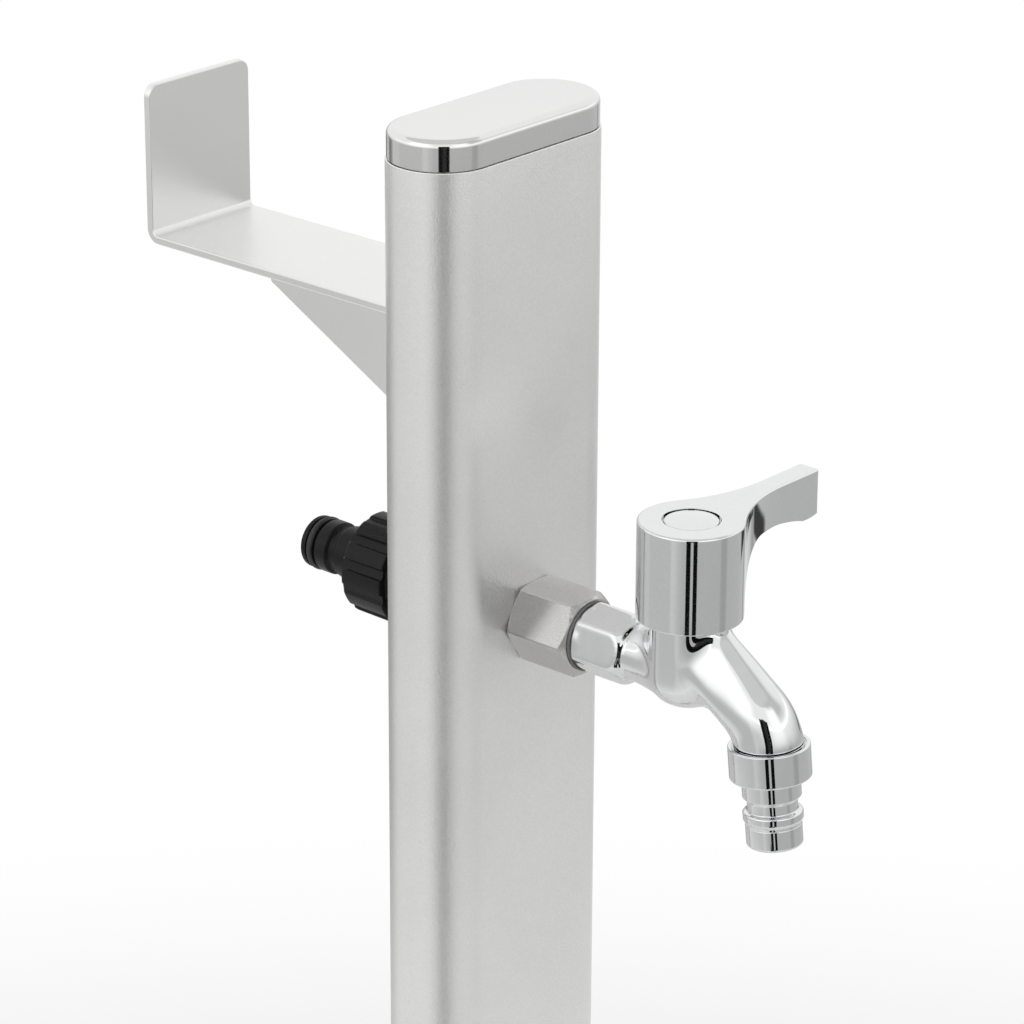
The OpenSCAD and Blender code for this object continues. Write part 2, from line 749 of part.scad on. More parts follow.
// Spindle: driving flange with two keys, round stem with a seal groove, square end
module spindle() color([0.78, 0.66, 0.38]) {
    seal_z = insert_top - 4.2;
    at_valve() difference() {
        union() {
            translate([0, 0, flange_z]) cylinder(r = disc_r - 0.2, h = spindle_flange_t);
            translate([0, 0, flange_z]) cylinder(r = spindle_r, h = square_z - flange_z);
            translate([0, 0, square_z - eps]) intersection() {
                translate([-square_side / 2, -square_side / 2, 0])
                    cube([square_side, square_side, square_h]);
                cylinder(r = spindle_r - 0.4, h = square_h);
            }
        }
        translate([0, 0, seal_z]) ring(spindle_r + cut, spindle_r - 1.2, 1.8);
        translate([0, 0, insert_top + 0.3]) ring(spindle_r + cut, spindle_r - 0.8, 1);
        translate([0, 0, square_top - square_h - 4]) cylinder(r = 1.7, h = square_h + 5);
    }
}

module spindle_seal() color([0.08, 0.08, 0.08])
    at_valve() translate([0, 0, insert_top - 3.3]) o_ring(spindle_r - 0.58, 0.6);

// Spring clip that keeps the spindle from dropping out of the insert
module spindle_clip() color([0.55, 0.55, 0.56])
    at_valve() translate([0, 0, insert_top + 0.4]) difference() {
        ring(spindle_r + 1.4, spindle_r - 0.75, 0.8);
        translate([-1.3, 0, -cut]) cube([2.6, spindle_r + 3, 1 + 2 * cut]);
    }

// Lever arm seen from above, pointing to +X, with a concave fillet to the barrel on each side
module arm_plan() {
    translate([0, lever_shift - lever_w / 2]) square([lever_len, lever_w]);
    for (side = [-1, 1]) {
        flank = lever_w / 2 + side * lever_shift;
        fillet_y = flank + root_r;
        fillet_x = sqrt(pow(barrel_r + root_r, 2) - pow(fillet_y, 2));
        touch = barrel_r / (barrel_r + root_r);
        difference() {
            polygon([[0, 0], [touch * fillet_x, side * touch * fillet_y], [fillet_x, side * flank],
                [fillet_x, 0]]);
            translate([fillet_x, side * fillet_y]) circle(root_r);
        }
    }
}

// Half section of the space that the arm keeps: its underside rises from the barrel's wall
module arm_section() {
    waist_z = lever_top - lever_waist_h;
    tip_z = lever_top - tip_h;
    reach = lever_len + 2;
    difference() {
        translate([0, waist_z - under_r]) square([reach, under_r + lever_waist_h]);
        translate([barrel_r + under_r, waist_z - under_r]) circle(under_r);
        translate([barrel_r + under_r, waist_z - 2 * under_r]) square([reach, 2 * under_r]);
    }
    polygon([[lever_len - 14, waist_z + cut], [lever_len - 7.5, tip_z], [lever_len - 4, tip_z - 0.1],
        [lever_len, tip_z + 0.7], [reach, tip_z + 1.1], [reach, waist_z + cut]]);
}

// Lever: hollow barrel with a flat arm cast on, bored for spindle, screw and index cap
module lever() color([0.83, 0.84, 0.86]) {
    web_z = square_z + spindle_gap;
    at_valve() difference() {
        union() {
            translate([0, 0, lever_bottom]) rotate_extrude()
                polygon([[0, 0], [barrel_r - barrel_edge, 0], [barrel_r, barrel_edge],
                    [barrel_r, barrel_h], [0, barrel_h]]);
            intersection() {
                linear_extrude(lever_top) arm_plan();
                rotate_extrude() arm_section();
            }
        }
        translate([0, 0, lever_bottom - cut]) cylinder(r = cavity_r, h = web_z - lever_bottom + cut);
        translate([-square_side / 2 - 0.1, -square_side / 2 - 0.1, web_z - cut])
            cube([square_side + 0.2, square_side + 0.2, square_top - web_z + cut]);
        cylinder(r = 2.2, h = lever_top);
        translate([0, 0, square_top + 2]) cylinder(r = 4.4, h = lever_top);
        translate([0, 0, lever_top - 3]) cylinder(r = index_r + 0.4, h = 3 + cut);
    }
}

// Screw that holds the lever on the spindle
module lever_screw() color([0.66, 0.66, 0.66])
    at_valve() difference() {
        union() {
            translate([0, 0, square_top - square_h]) cylinder(r = 1.6, h = square_h + 2.1);
            translate([0, 0, square_top + 2.02]) cylinder(r = 3.8, h = 2.2);
        }
        translate([-2.6, -0.5, square_top + 3.2]) cube([5.2, 1, 3]);
        translate([-0.5, -2.6, square_top + 3.2]) cube([1, 5.2, 3]);
    }

// Index cap: crowned disc that snaps over the screw
module index_cap() color([0.86, 0.87, 0.88]) {
    crown_r = (pow(index_r, 2) + pow(index_crown, 2)) / (2 * index_crown);
    rim_z = lever_top - 0.4;
    at_valve() {
        intersection() {
            translate([0, 0, rim_z - 2.4]) cylinder(r = index_r, h = 2.4 + index_crown);
            translate([0, 0, rim_z + index_crown - crown_r]) sphere(crown_r);
        }
        translate([0, 0, rim_z - 2.58]) difference() {
            cylinder(r = index_r - 0.3, h = 0.4);
            translate([0, 0, -cut]) cylinder(r = index_r - 1.6, h = 0.4 + cut);
        }
    }
}

// Outlet nozzle: collar over the spout's thread and a push-fit nose for the hose
module outlet_nozzle() color([0.82, 0.83, 0.85]) {
    s1 = collar_len + step_len;
    s2 = s1 + groove_len;
    s3 = s2 + bead_len;
    s4 = s3 + outlet_nose_len;
    bead_half = 1.3;
    at_mouth() difference() {
        rotate_extrude() difference() {
            union() {
                polygon([[0, 0], [collar_r - 0.3, 0], [collar_r, 0.3], [collar_r, collar_len - 0.6],
                    [collar_r - 0.6, collar_len], [nose_r + 0.25, collar_len],
                    [nose_r + 0.25, s1 - 0.6], [groove_r, s1 + 0.3], [groove_r, s2 + 0.2],
                    [nose_r - 0.15, s2 + 0.6], [nose_r - 0.15, s4 - 0.7], [nose_r - 0.85, s4], [0, s4]]);
                for (s = [s2 + bead_half, s3 - bead_half]) translate([bead_r - bead_half, s])
                    circle(bead_half);
                translate([0, s2 + bead_half]) square([bead_r, bead_len - 2 * bead_half]);
            }
        }
        translate([0, 0, -cut]) cylinder(r = mouth_r + 0.55, h = cut + 1.4);
        translate([0, 0, 0.6])
            cylinder(r = thread_r + thread_gap, h = outlet_thread + outlet_washer_t - 0.5);
        cylinder(r = spout_bore_r, h = s4 + cut);
    }
}

module outlet_washer() color([0.10, 0.10, 0.10])
    at_mouth() translate([0, 0, outlet_thread + 0.05])
        ring(thread_r - 0.3, spout_bore_r + 0.6, outlet_washer_t - 0.1);

column();
top_cap();
foot_plate();
foot_screws();
holder_plate();
gusset_left();
gusset_right();
holder_rivets();
through_pipe();
hex_coupling();
rear_washer();
lock_nut();
inlet_adaptor();
inlet_oring();
inlet_seal();
tail_washer();
tap_body();
seat_seal();
fixed_disc();
moving_disc();
valve_insert();
insert_seal();
spindle();
spindle_seal();
spindle_clip();
lever();
lever_screw();
index_cap();
outlet_nozzle();
outlet_washer();
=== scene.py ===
"""Garden standpipe: column, hose holder, tap, lever and hose ends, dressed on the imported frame."""

import logging
import math
from collections.abc import Iterable, Sequence
from dataclasses import dataclass
from enum import Enum
from typing import Self

import bmesh
import bpy
from mathutils import Matrix, Vector


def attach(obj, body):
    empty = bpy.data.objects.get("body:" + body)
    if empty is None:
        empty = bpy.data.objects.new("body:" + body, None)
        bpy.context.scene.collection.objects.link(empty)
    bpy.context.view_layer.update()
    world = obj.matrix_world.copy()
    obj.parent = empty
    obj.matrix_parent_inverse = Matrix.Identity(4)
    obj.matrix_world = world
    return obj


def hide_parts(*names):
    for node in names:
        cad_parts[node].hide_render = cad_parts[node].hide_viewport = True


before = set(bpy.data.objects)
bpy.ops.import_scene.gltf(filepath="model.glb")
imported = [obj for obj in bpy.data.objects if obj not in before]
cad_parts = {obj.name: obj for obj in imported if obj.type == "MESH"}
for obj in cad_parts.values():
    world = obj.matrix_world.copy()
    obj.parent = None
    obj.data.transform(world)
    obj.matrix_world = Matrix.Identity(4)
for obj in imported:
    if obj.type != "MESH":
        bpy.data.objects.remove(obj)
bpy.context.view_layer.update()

LOG = logging.getLogger("standpipe")
RGB = tuple[float, float, float]
Point = tuple[float, float, float]
Socket = bpy.types.NodeSocket
Thing = bpy.types.Object

MM = 0.001
COLUMN_TOP = 940.0
WATER_Z = 790.5
VALVE_Y = -78.4
MOUTH_OUT = 31.2
MOUTH_DROP = 14.5
MERGE = 1e-6
SHARP_ANGLE = math.radians(33)
WHITE: RGB = (1.0, 1.0, 1.0)


class Body(Enum):
    """The two moving groups of the part."""

    STAND = "stand"
    HANDLE = "handle"


class Join(Enum):
    """How one closed form meets another."""

    CUT = "DIFFERENCE"
    ADD = "UNION"
    COMMON = "INTERSECT"


class Facing(Enum):
    """Directions that turned pieces stand in, as turns about X in degrees."""

    UP = 0
    FORWARD = 90
    BACKWARD = -90
    MOUTH = 174


def place(x: float, y: float, z: float, facing: Facing = Facing.UP, spin: float = 0.0) -> Matrix:
    """Gives the matrix that stands a piece at a point.

    Args:
        x, y, z: the point in millimetres.
        facing: where the piece's own +Z points.
        spin: turn about the piece's own +Z in degrees.

    Returns:
        The matrix in metres.
    """
    move = Matrix.Translation(Vector((x, y, z)) * MM)
    tilt = Matrix.Rotation(math.radians(facing.value), 4, "X")
    return move @ tilt @ Matrix.Rotation(math.radians(spin), 4, "Z")


def raised(height: float) -> Matrix:
    """Gives the matrix that lifts a form by a height in millimetres."""
    return Matrix.Translation((0, 0, height * MM))


def on_side(x: float) -> Matrix:
    """Gives the matrix that lays a slab's outline on YZ, with its depth along +X from x."""
    return Matrix(((0, 0, 1, x * MM), (1, 0, 0, 0), (0, 1, 0, 0), (0, 0, 0, 1)))


def clamp(value: float) -> float:
    """Keeps a number between 0 and 1."""
    return min(1.0, max(0.0, value))


def show(name: str, data: bpy.types.ID) -> Thing:
    """Puts a mesh, curve, lamp or camera in the scene.

    Args:
        name: the new object's name.
        data: what the object shows.

    Returns:
        The object.
    """
    thing = bpy.data.objects.new(name, data)
    bpy.context.scene.collection.objects.link(thing)
    return thing


def modify(thing: Thing, name: str, kind: str, **values: object) -> None:
    """Gives an object a modifier.

    Args:
        thing: the object.
        name: the modifier's name.
        kind: Blender's name of its type.
        values: the modifier's own properties.
    """
    step = thing.modifiers.new(name, kind)
    for key, value in values.items():
        setattr(step, key, value)


@dataclass(frozen=True)
class Corner:
    """A corner of a profile or outline, in millimetres, with its rounding and arc steps."""

    a: float
    b: float
    round: float = 0.0
    steps: int = 4


class Form:
    """A closed or open surface in the making, in metres."""

    def __init__(self) -> None:
        """Starts an empty surface."""
        self.bm = bmesh.new()

    @classmethod
    def path(cls, corners: Sequence[Corner], closed: bool, upright: bool) -> Self:
        """Draws a polyline whose corners are rounded.

        Args:
            corners: the corners in order.
            closed: whether the last corner joins the first.
            upright: True draws on XZ, False on XY.

        Returns:
            The polyline.
        """
        form = cls()
        points = [(c.a * MM, 0, c.b * MM) if upright else (c.a * MM, c.b * MM, 0) for c in corners]
        verts = [form.bm.verts.new(p) for p in points]
        for start, end in zip(verts, verts[1:]):
            form.bm.edges.new((start, end))
        if closed:
            form.bm.edges.new((verts[-1], verts[0]))
        for vert, corner in zip(verts, corners):
            if corner.round:
                bmesh.ops.bevel(form.bm, geom=[vert], offset=corner.round * MM,
                                offset_type="OFFSET", segments=corner.steps, profile=0.5,
                                affect="VERTICES", material=-1)
        return form

    @classmethod
    def lathe(cls, corners: Sequence[Corner], steps: int = 128, closed: bool = False) -> Self:
        """Turns a profile of radius and height about +Z.

        Args:
            corners: the profile from pole or rim to pole or rim.
            steps: sides of the full turn.
            closed: whether the profile is a loop, as for a ring.

        Returns:
            The turned surface.
        """
        form = cls.path(corners, closed, True)
        bmesh.ops.spin(form.bm, geom=form.bm.verts[:] + form.bm.edges[:], cent=(0, 0, 0),
                       axis=(0, 0, 1), dvec=(0, 0, 0), angle=math.tau, steps=steps, use_merge=True,
                       use_normal_flip=False, use_duplicate=False)
        return form.seal()

    @classmethod
    def slab(cls, corners: Sequence[Corner], depth: float) -> Self:
        """Fills an outline on XY and draws it up along +Z.

        Args:
            corners: the outline.
            depth: the height in millimetres.

        Returns:
            The solid slab.
        """
        form = cls.path(corners, True, False)
        bmesh.ops.contextual_create(form.bm, geom=form.bm.edges[:])
        return form.raise_faces(depth)

    @classmethod
    def oval(cls, radius: float, spread: float, sides: int, filled: bool) -> Self:
        """Draws two half circles joined by flats.

        Args:
            radius: radius of the half circles in millimetres.
            spread: distance of their centres from the middle.
            sides: sides of the two half circles together.
            filled: whether the outline gets a face.

        Returns:
            The flat outline.
        """
        form = cls()
        bmesh.ops.create_circle(form.bm, cap_ends=filled, segments=sides, radius=radius * MM)
        form.turn(Matrix.Rotation(math.pi / sides, 4, "Z"))
        for side in (-1, 1):
            half = [v for v in form.bm.verts if v.co.x * side > 0]
            bmesh.ops.translate(form.bm, verts=half, vec=(side * spread * MM, 0, 0))
        return form

    @classmethod
    def rod(cls, sides: int, radius: float, height: float, base: float = 0.0) -> Self:
        """Stands a closed prism or round rod along +Z.

        Args:
            sides: number of sides.
            radius: radius of the corners in millimetres.
            height: length along +Z.
            base: where its lower end stands.

        Returns:
            The rod.
        """
        form = cls()
        bmesh.ops.create_cone(form.bm, cap_ends=True, segments=sides, radius1=radius * MM,
                              radius2=radius * MM, depth=height * MM)
        return form.turn(raised(base + height / 2))

    @classmethod
    def disc(cls, radius: float, sides: int) -> Self:
        """Fills a circle.

        Args:
            radius: its radius in metres.
            sides: number of sides.

        Returns:
            The flat disc.
        """
        form = cls()
        bmesh.ops.create_circle(form.bm, cap_ends=True, segments=sides, radius=radius)
        return form

    def seal(self) -> Self:
        """Merges doubles and turns the faces outwards.

        Returns:
            This form.
        """
        bmesh.ops.remove_doubles(self.bm, verts=self.bm.verts[:], dist=MERGE)
        bmesh.ops.recalc_face_normals(self.bm, faces=self.bm.faces[:])
        return self

    def lift(self, made: Iterable[bmesh.types.BMVert | bmesh.types.BMEdge], height: float) -> Self:
        """Lifts newly drawn corners and turns the faces outwards.

        Args:
            made: what an operator has drawn.
            height: the way up in millimetres.

        Returns:
            This form.
        """
        verts = [g for g in made if isinstance(g, bmesh.types.BMVert)]
        bmesh.ops.translate(self.bm, verts=verts, vec=(0, 0, height * MM))
        bmesh.ops.recalc_face_normals(self.bm, faces=self.bm.faces[:])
        return self

    def raise_faces(self, depth: float) -> Self:
        """Draws all faces up along +Z into a solid of a depth in millimetres."""
        made = bmesh.ops.extrude_face_region(self.bm, geom=self.bm.faces[:])
        return self.lift(made["geom"], depth)

    def raise_edges(self, height: float) -> Self:
        """Draws all edges up along +Z into a sheet of a height in millimetres."""
        made = bmesh.ops.extrude_edge_only(self.bm, edges=self.bm.edges[:])
        return self.lift(made["geom"], height)

    def turn(self, matrix: Matrix) -> Self:
        """Moves the form by a matrix."""
        bmesh.ops.transform(self.bm, matrix=matrix, verts=self.bm.verts[:])
        return self

    def rim(self, height: float) -> list[bmesh.types.BMEdge]:
        """Gives the edges that lie at a height in millimetres."""
        level = height * MM
        return [e for e in self.bm.edges if all(abs(v.co.z - level) < MERGE for v in e.verts)]

    def upright(self) -> list[bmesh.types.BMEdge]:
        """Gives the edges that run along +Z."""
        return [e for e in self.bm.edges if abs(e.verts[0].co.z - e.verts[1].co.z) > MM]

    def ease(self, edges: Sequence[bmesh.types.BMEdge], width: float, steps: int) -> Self:
        """Rounds some of the edges.

        Args:
            edges: the edges.
            width: width of the rounding in millimetres.
            steps: faces across it.

        Returns:
            This form.
        """
        bmesh.ops.bevel(self.bm, geom=list(edges), offset=width * MM, offset_type="OFFSET",
                        segments=steps, profile=0.5, affect="EDGES", material=-1,
                        clamp_overlap=True)
        return self

    def slice(self, point: Point, normal: Point) -> Self:
        """Cuts away what lies beyond a plane and closes the cut.

        Args:
            point: a point of the plane in millimetres.
            normal: the way out of what stays.

        Returns:
            This form.
        """
        geom = self.bm.verts[:] + self.bm.edges[:] + self.bm.faces[:]
        cut = bmesh.ops.bisect_plane(self.bm, geom=geom, dist=MERGE, plane_co=Vector(point) * MM,
                                     plane_no=normal, clear_outer=True)["geom_cut"]
        edges = [g for g in cut if isinstance(g, bmesh.types.BMEdge)]
        bmesh.ops.contextual_create(self.bm, geom=edges)
        return self

    def add(self, other: Self) -> Self:
        """Puts another form's shell beside this one, and frees the other.

        Args:
            other: the form that is added.

        Returns:
            This form.
        """
        mesh = other.mesh("part")
        self.bm.from_mesh(mesh)
        bpy.data.meshes.remove(mesh)
        return self

    def meet(self, join: Join, other: Self) -> Self:
        """Joins this closed form with another closed form, and frees the other.

        Args:
            join: how the two meet.
            other: the second form.

        Returns:
            This form.
        """
        meshes = [self.mesh("base"), other.mesh("tool")]
        base, tool = (show("join", m) for m in meshes)
        modify(base, "join", "BOOLEAN", operation=join.value, solver="EXACT", object=tool)
        return self.settle([base, tool], meshes)

    def melt(self, voxel: float, rounds: int) -> Self:
        """Fuses overlapping shells into one smooth casting.

        Args:
            voxel: size of the new faces in millimetres.
            rounds: smoothing rounds, which give the blends their radius.

        Returns:
            This form.
        """
        mesh = self.mesh("melt")
        thing = show("melt", mesh)
        modify(thing, "fuse", "REMESH", mode="VOXEL", voxel_size=voxel * MM)
        self.settle([thing], [mesh])
        for _ in range(rounds):
            bmesh.ops.smooth_vert(self.bm, verts=self.bm.verts[:], factor=0.5, use_axis_x=True,
                                  use_axis_y=True, use_axis_z=True)
        return self

    def blend(self, radius: float, steps: int, voxel: float) -> Self:
        """Fills inner corners with a radius, by growing the form and shrinking it again.

        Args:
            radius: the fillets' radius in millimetres.
            steps: number of moves each way.
            voxel: size of the faces between moves in millimetres.

        Returns:
            This form.
        """
        for direction in (1, -1):
            for _ in range(steps):
                self.bm.normal_update()
                for vert in self.bm.verts:
                    vert.co += vert.normal * (direction * radius / steps * MM)
                self.melt(voxel, 1)
        return self

    def settle(self, things: Sequence[Thing], meshes: Sequence[bpy.types.Mesh]) -> Self:
        """Takes the shape of an object with its modifiers, and removes the helpers.

        Args:
            things: the object, and then its helpers.
            meshes: the meshes that go with them.

        Returns:
            This form.
        """
        graph = bpy.context.evaluated_depsgraph_get()
        made = bpy.data.meshes.new_from_object(things[0].evaluated_get(graph), depsgraph=graph)
        for thing in things:
            bpy.data.objects.remove(thing)
        for mesh in meshes:
            bpy.data.meshes.remove(mesh)
        self.bm = bmesh.new()
        self.bm.from_mesh(made)
        bpy.data.meshes.remove(made)
        return self

    def mesh(self, name: str) -> bpy.types.Mesh:
        """Gives the form as a mesh, and frees the form.

        Args:
            name: the mesh's name.

        Returns:
            The mesh.
        """
        made = bpy.data.meshes.new(name)
        self.bm.to_mesh(made)
        self.bm.free()
        return made


@dataclass(frozen=True)
class Nodes:
    """Adds nodes to a node tree and links them."""

    tree: bpy.types.NodeTree

    def feed(self, into: Socket, value: object) -> None:
        """Links an output to an input, or sets the input's own value.

        Args:
            into: the input.
            value: the output, number, vector or colour that it gets.
        """
        if isinstance(value, Socket):
            self.tree.links.new(value, into)
        else:
            into.default_value = value

    def add(self, kind: str, inputs: dict[str | int, object] | None = None,
            **values: object) -> bpy.types.Node:
        """Adds a shader node, sets its own properties and feeds its inputs.

        Args:
            kind: the node's type, as it goes on after ShaderNode.
            inputs: what each input gets, by its name or number.
            values: the node's own properties.

        Returns:
            The node.
        """
        node = self.tree.nodes.new("ShaderNode" + kind)
        for key, value in values.items():
            setattr(node, key, value)
        for key, value in (inputs or {}).items():
            self.feed(node.inputs[key], value)
        return node

    def inlet(self, **values: float | Point) -> bpy.types.NodeOutputs:
        """Gives a group its named inputs.

        Args:
            values: each input's default, a number or a vector.

        Returns:
            The inputs, as the group's own nodes see them.
        """
        for key, value in values.items():
            kind = "NodeSocketFloat" if isinstance(value, float) else "NodeSocketVector"
            made = self.tree.interface.new_socket(name=key, in_out="INPUT", socket_type=kind)
            made.default_value = value
        return self.tree.nodes.new("NodeGroupInput").outputs

    def outlet(self, name: str, value: Socket) -> bpy.types.NodeTree:
        """Gives a group its named output.

        Args:
            name: the output's name.
            value: what it puts out.

        Returns:
            The finished group.
        """
        self.tree.interface.new_socket(name=name, in_out="OUTPUT", socket_type="NodeSocketFloat")
        self.tree.links.new(value, self.tree.nodes.new("NodeGroupOutput").inputs[name])
        return self.tree

    def use(self, group: bpy.types.NodeTree, **values: float | Point) -> Socket:
        """Places a shared group with its own values and gives its output."""
        return self.add("Group", values, node_tree=group).outputs[0]

    def where(self) -> Socket:
        """Gives the object coordinates."""
        return self.add("TexCoord").outputs["Object"]

    def math(self, operation: str, *values: Socket | float, limit: bool = False) -> Socket:
        """Adds a math node.

        Args:
            operation: Blender's name of the operation.
            values: the outputs or numbers that it works on.
            limit: whether the result stays between 0 and 1.

        Returns:
            The result.
        """
        node = self.add("Math", dict(enumerate(values)), operation=operation, use_clamp=limit)
        return node.outputs[0]

    def mix(self, factor: Socket, low: Socket | RGB, high: RGB) -> Socket:
        """Mixes two colours.

        Args:
            factor: how much of the second shows.
            low: the first colour, or an output that gives it.
            high: the second colour.

        Returns:
            The mixed colour.
        """
        first = low if isinstance(low, Socket) else (*low, 1)
        inputs = {"Factor": factor, 6: first, 7: (*high, 1)}
        return self.add("Mix", inputs, data_type="RGBA").outputs[2]

    def bump(self, height: Socket, depth: float, under: Socket | None = None) -> Socket:
        """Adds a bump, over an earlier one if there is one.

        Args:
            height: what the bump follows.
            depth: its depth in millimetres.
            under: the earlier bump.

        Returns:
            The bumped normal.
        """
        inputs = {"Strength": 1.0, "Distance": depth * MM, "Height": height}
        if under:
            inputs["Normal"] = under
        return self.add("Bump", inputs).outputs["Normal"]

    def ease(self, value: Socket, low: float, high: float) -> Socket:
        """Gives 0 at low, 1 at high, and a smooth step between."""
        inputs = {"Value": value, "From Min": low, "From Max": high}
        return self.add("MapRange", inputs, interpolation_type="SMOOTHSTEP").outputs["Result"]

    def window(self, value: Socket, middle: float, reach: tuple[float, float]) -> Socket:
        """Gives 1 near a middle and fades to 0 away from it.

        Args:
            value: the value that is tested.
            middle: where the window stands.
            reach: distances from the middle where the fade starts and ends.

        Returns:
            The mask.
        """
        away = self.math("ABSOLUTE", self.math("SUBTRACT", value, middle))
        return self.ease(away, reach[1], reach[0])

    def cover(self, factor: Socket, under: bpy.types.Node, over: bpy.types.Node,
              output: bpy.types.Node) -> None:
        """Lays one shader over another.

        Args:
            factor: how much of the upper one shows.
            under: the lower shader.
            over: the upper shader.
            output: the node that gets both.
        """
        both = self.add("MixShader", {"Fac": factor, 1: under.outputs[0], 2: over.outputs[0]})
        self.feed(output.inputs["Surface"], both.outputs[0])


def new_material(name: str) -> tuple[bpy.types.Material, Nodes]:
    """Makes a material with its default nodes.

    Args:
        name: the material's name.

    Returns:
        The material and its nodes.
    """
    made = bpy.data.materials.new(name)
    made.use_nodes = True
    return made, Nodes(made.node_tree)


@dataclass(frozen=True)
class Finish:
    """A finish with grain, slow variation, brushed lines and worn edges."""

    name: str
    dark: RGB
    light: RGB
    metallic: float
    rough: tuple[float, float]
    grain_size: float
    grain_bump: float
    lines: Point | None = None
    line_bump: float = 0.0
    wear: float = 0.0
    worn: RGB = (0.9, 0.9, 0.9)
    specular: float = 0.5


@dataclass
class FinishShop:
    """Makes each material once, from shared node groups for grain, brushed lines and worn edges."""

    grain_detail: float = 2.0
    grain_contrast: float = 2.2
    patch_size: float = 60.0
    patch_detail: float = 4.0
    patch_contrast: float = 1.8
    edge_from: float = 0.52
    edge_full: float = 0.62
    chip_scale: float = 350.0

    def __post_init__(self) -> None:
        """Builds the shared groups."""
        self.made: dict[str, bpy.types.Material] = {}
        self.grain = self.grain_group()
        self.lines = self.line_group()
        self.wear = self.wear_group()

    @staticmethod
    def group(name: str) -> Nodes:
        """Starts an empty shader node group."""
        return Nodes(bpy.data.node_groups.new(name, "ShaderNodeTree"))

    def grain_group(self) -> bpy.types.NodeTree:
        """Makes even noise on object coordinates, spread over the range from 0 to 1.

        Returns:
            The group.
        """
        kit = self.group("surface_grain")
        given = kit.inlet(Scale=100.0, Detail=3.0, Contrast=1.0)
        noise = kit.add("TexNoise", {"Vector": kit.where(), "Scale": given["Scale"],
                                     "Detail": given["Detail"]})
        shift = kit.math("MULTIPLY_ADD", given["Contrast"], -0.5, 0.5)
        spread = kit.math("MULTIPLY_ADD", noise.outputs["Fac"], given["Contrast"], shift,
                          limit=True)
        return kit.outlet("Value", spread)

    def line_group(self) -> bpy.types.NodeTree:
        """Makes noise that a vector of scales draws out into fine lines.

        Returns:
            The group.
        """
        kit = self.group("tool_lines")
        given = kit.inlet(Stretch=(1.0, 1.0, 1.0))
        stretch = kit.add("VectorMath", {0: kit.where(), 1: given["Stretch"]}, operation="MULTIPLY")
        noise = kit.add("TexNoise", {"Vector": stretch.outputs[0], "Scale": 1.0, "Detail": 2.0})
        return kit.outlet("Value", noise.outputs["Fac"])

    def wear_group(self) -> bpy.types.NodeTree:
        """Makes the mask of rubbed convex edges, broken up by noise.

        Returns:
            The group.
        """
        kit = self.group("edge_wear")
        given = kit.inlet(Amount=0.5)
        edge = kit.add("MapRange", {"Value": kit.add("NewGeometry").outputs["Pointiness"],
                                    "From Min": self.edge_from, "From Max": self.edge_full})
        noise = kit.add("TexNoise", {"Vector": kit.where(), "Scale": self.chip_scale})
        broken = kit.math("MULTIPLY", edge.outputs["Result"], noise.outputs["Fac"])
        return kit.outlet("Mask", kit.math("MULTIPLY", broken, given["Amount"], limit=True))

    def material(self, finish: Finish) -> bpy.types.Material:
        """Gives the finish's material, made at its first use.

        Args:
            finish: the finish.

        Returns:
            The material.
        """
        if finish.name in self.made:
            return self.made[finish.name]
        made, kit = new_material(finish.name)
        grain = kit.use(self.grain, Scale=1 / (finish.grain_size * MM), Detail=self.grain_detail,
                        Contrast=self.grain_contrast)
        patch = kit.use(self.grain, Scale=1 / (self.patch_size * MM), Detail=self.patch_detail,
                        Contrast=self.patch_contrast)
        blend = kit.math("MULTIPLY_ADD", grain, 0.5, kit.math("MULTIPLY", patch, 0.5))
        colour = kit.mix(blend, finish.dark, finish.light)
        if finish.wear:
            colour = kit.mix(kit.use(self.wear, Amount=finish.wear), colour, finish.worn)
        smooth, rough = finish.rough
        spread = kit.add("MapRange", {"Value": blend, "To Min": smooth, "To Max": rough})
        bump = kit.bump(grain, finish.grain_bump)
        if finish.lines:
            bump = kit.bump(kit.use(self.lines, Stretch=finish.lines), finish.line_bump, bump)
        shader = made.node_tree.nodes["Principled BSDF"]
        for key, value in {
            "Metallic": finish.metallic, "Specular IOR Level": finish.specular,
            "Base Color": colour, "Roughness": spread.outputs["Result"], "Normal": bump,
        }.items():
            kit.feed(shader.inputs[key], value)
        self.made[finish.name] = made
        return made


ANODISED = Finish("blasted_anodised", (0.84, 0.84, 0.83), (0.97, 0.97, 0.96), 1.0, (0.34, 0.42),
                  0.6, 0.036, wear=0.25)
CAP_METAL = Finish("cap_metal", (0.76, 0.76, 0.76), (0.81, 0.81, 0.80), 1.0, (0.05, 0.09),
                   0.8, 0.0003, wear=0.2)
HOLDER_SATIN = Finish("holder_satin", (0.82, 0.82, 0.81), (0.90, 0.90, 0.89), 1.0, (0.28, 0.36),
                      0.5, 0.004, (30, 30, 900), 0.0005, 0.3)
COUPLING_STEEL = Finish("coupling_steel", (0.44, 0.435, 0.425), (0.60, 0.595, 0.58), 1.0,
                        (0.14, 0.22), 0.6, 0.0012, (120, 3200, 120), 0.0006, 0.35)
CHROME = Finish("polished_chrome", (0.76, 0.765, 0.77), (0.82, 0.825, 0.83), 1.0, (0.03, 0.055),
                4.0, 0.0006)
LEVER_CHROME = Finish("satin_chrome", (0.76, 0.765, 0.77), (0.82, 0.825, 0.83), 1.0, (0.04, 0.07),
                      1.2, 0.0004)
BLACK_PLASTIC = Finish("black_plastic", (0.007, 0.007, 0.008), (0.013, 0.013, 0.014), 0.0,
                       (0.24, 0.36), 0.5, 0.006, wear=0.15, worn=(0.03, 0.03, 0.03), specular=0.16)
RUBBER = Finish("black_rubber", (0.014, 0.014, 0.014), (0.024, 0.024, 0.024), 0.0, (0.5, 0.62),
                0.4, 0.004)
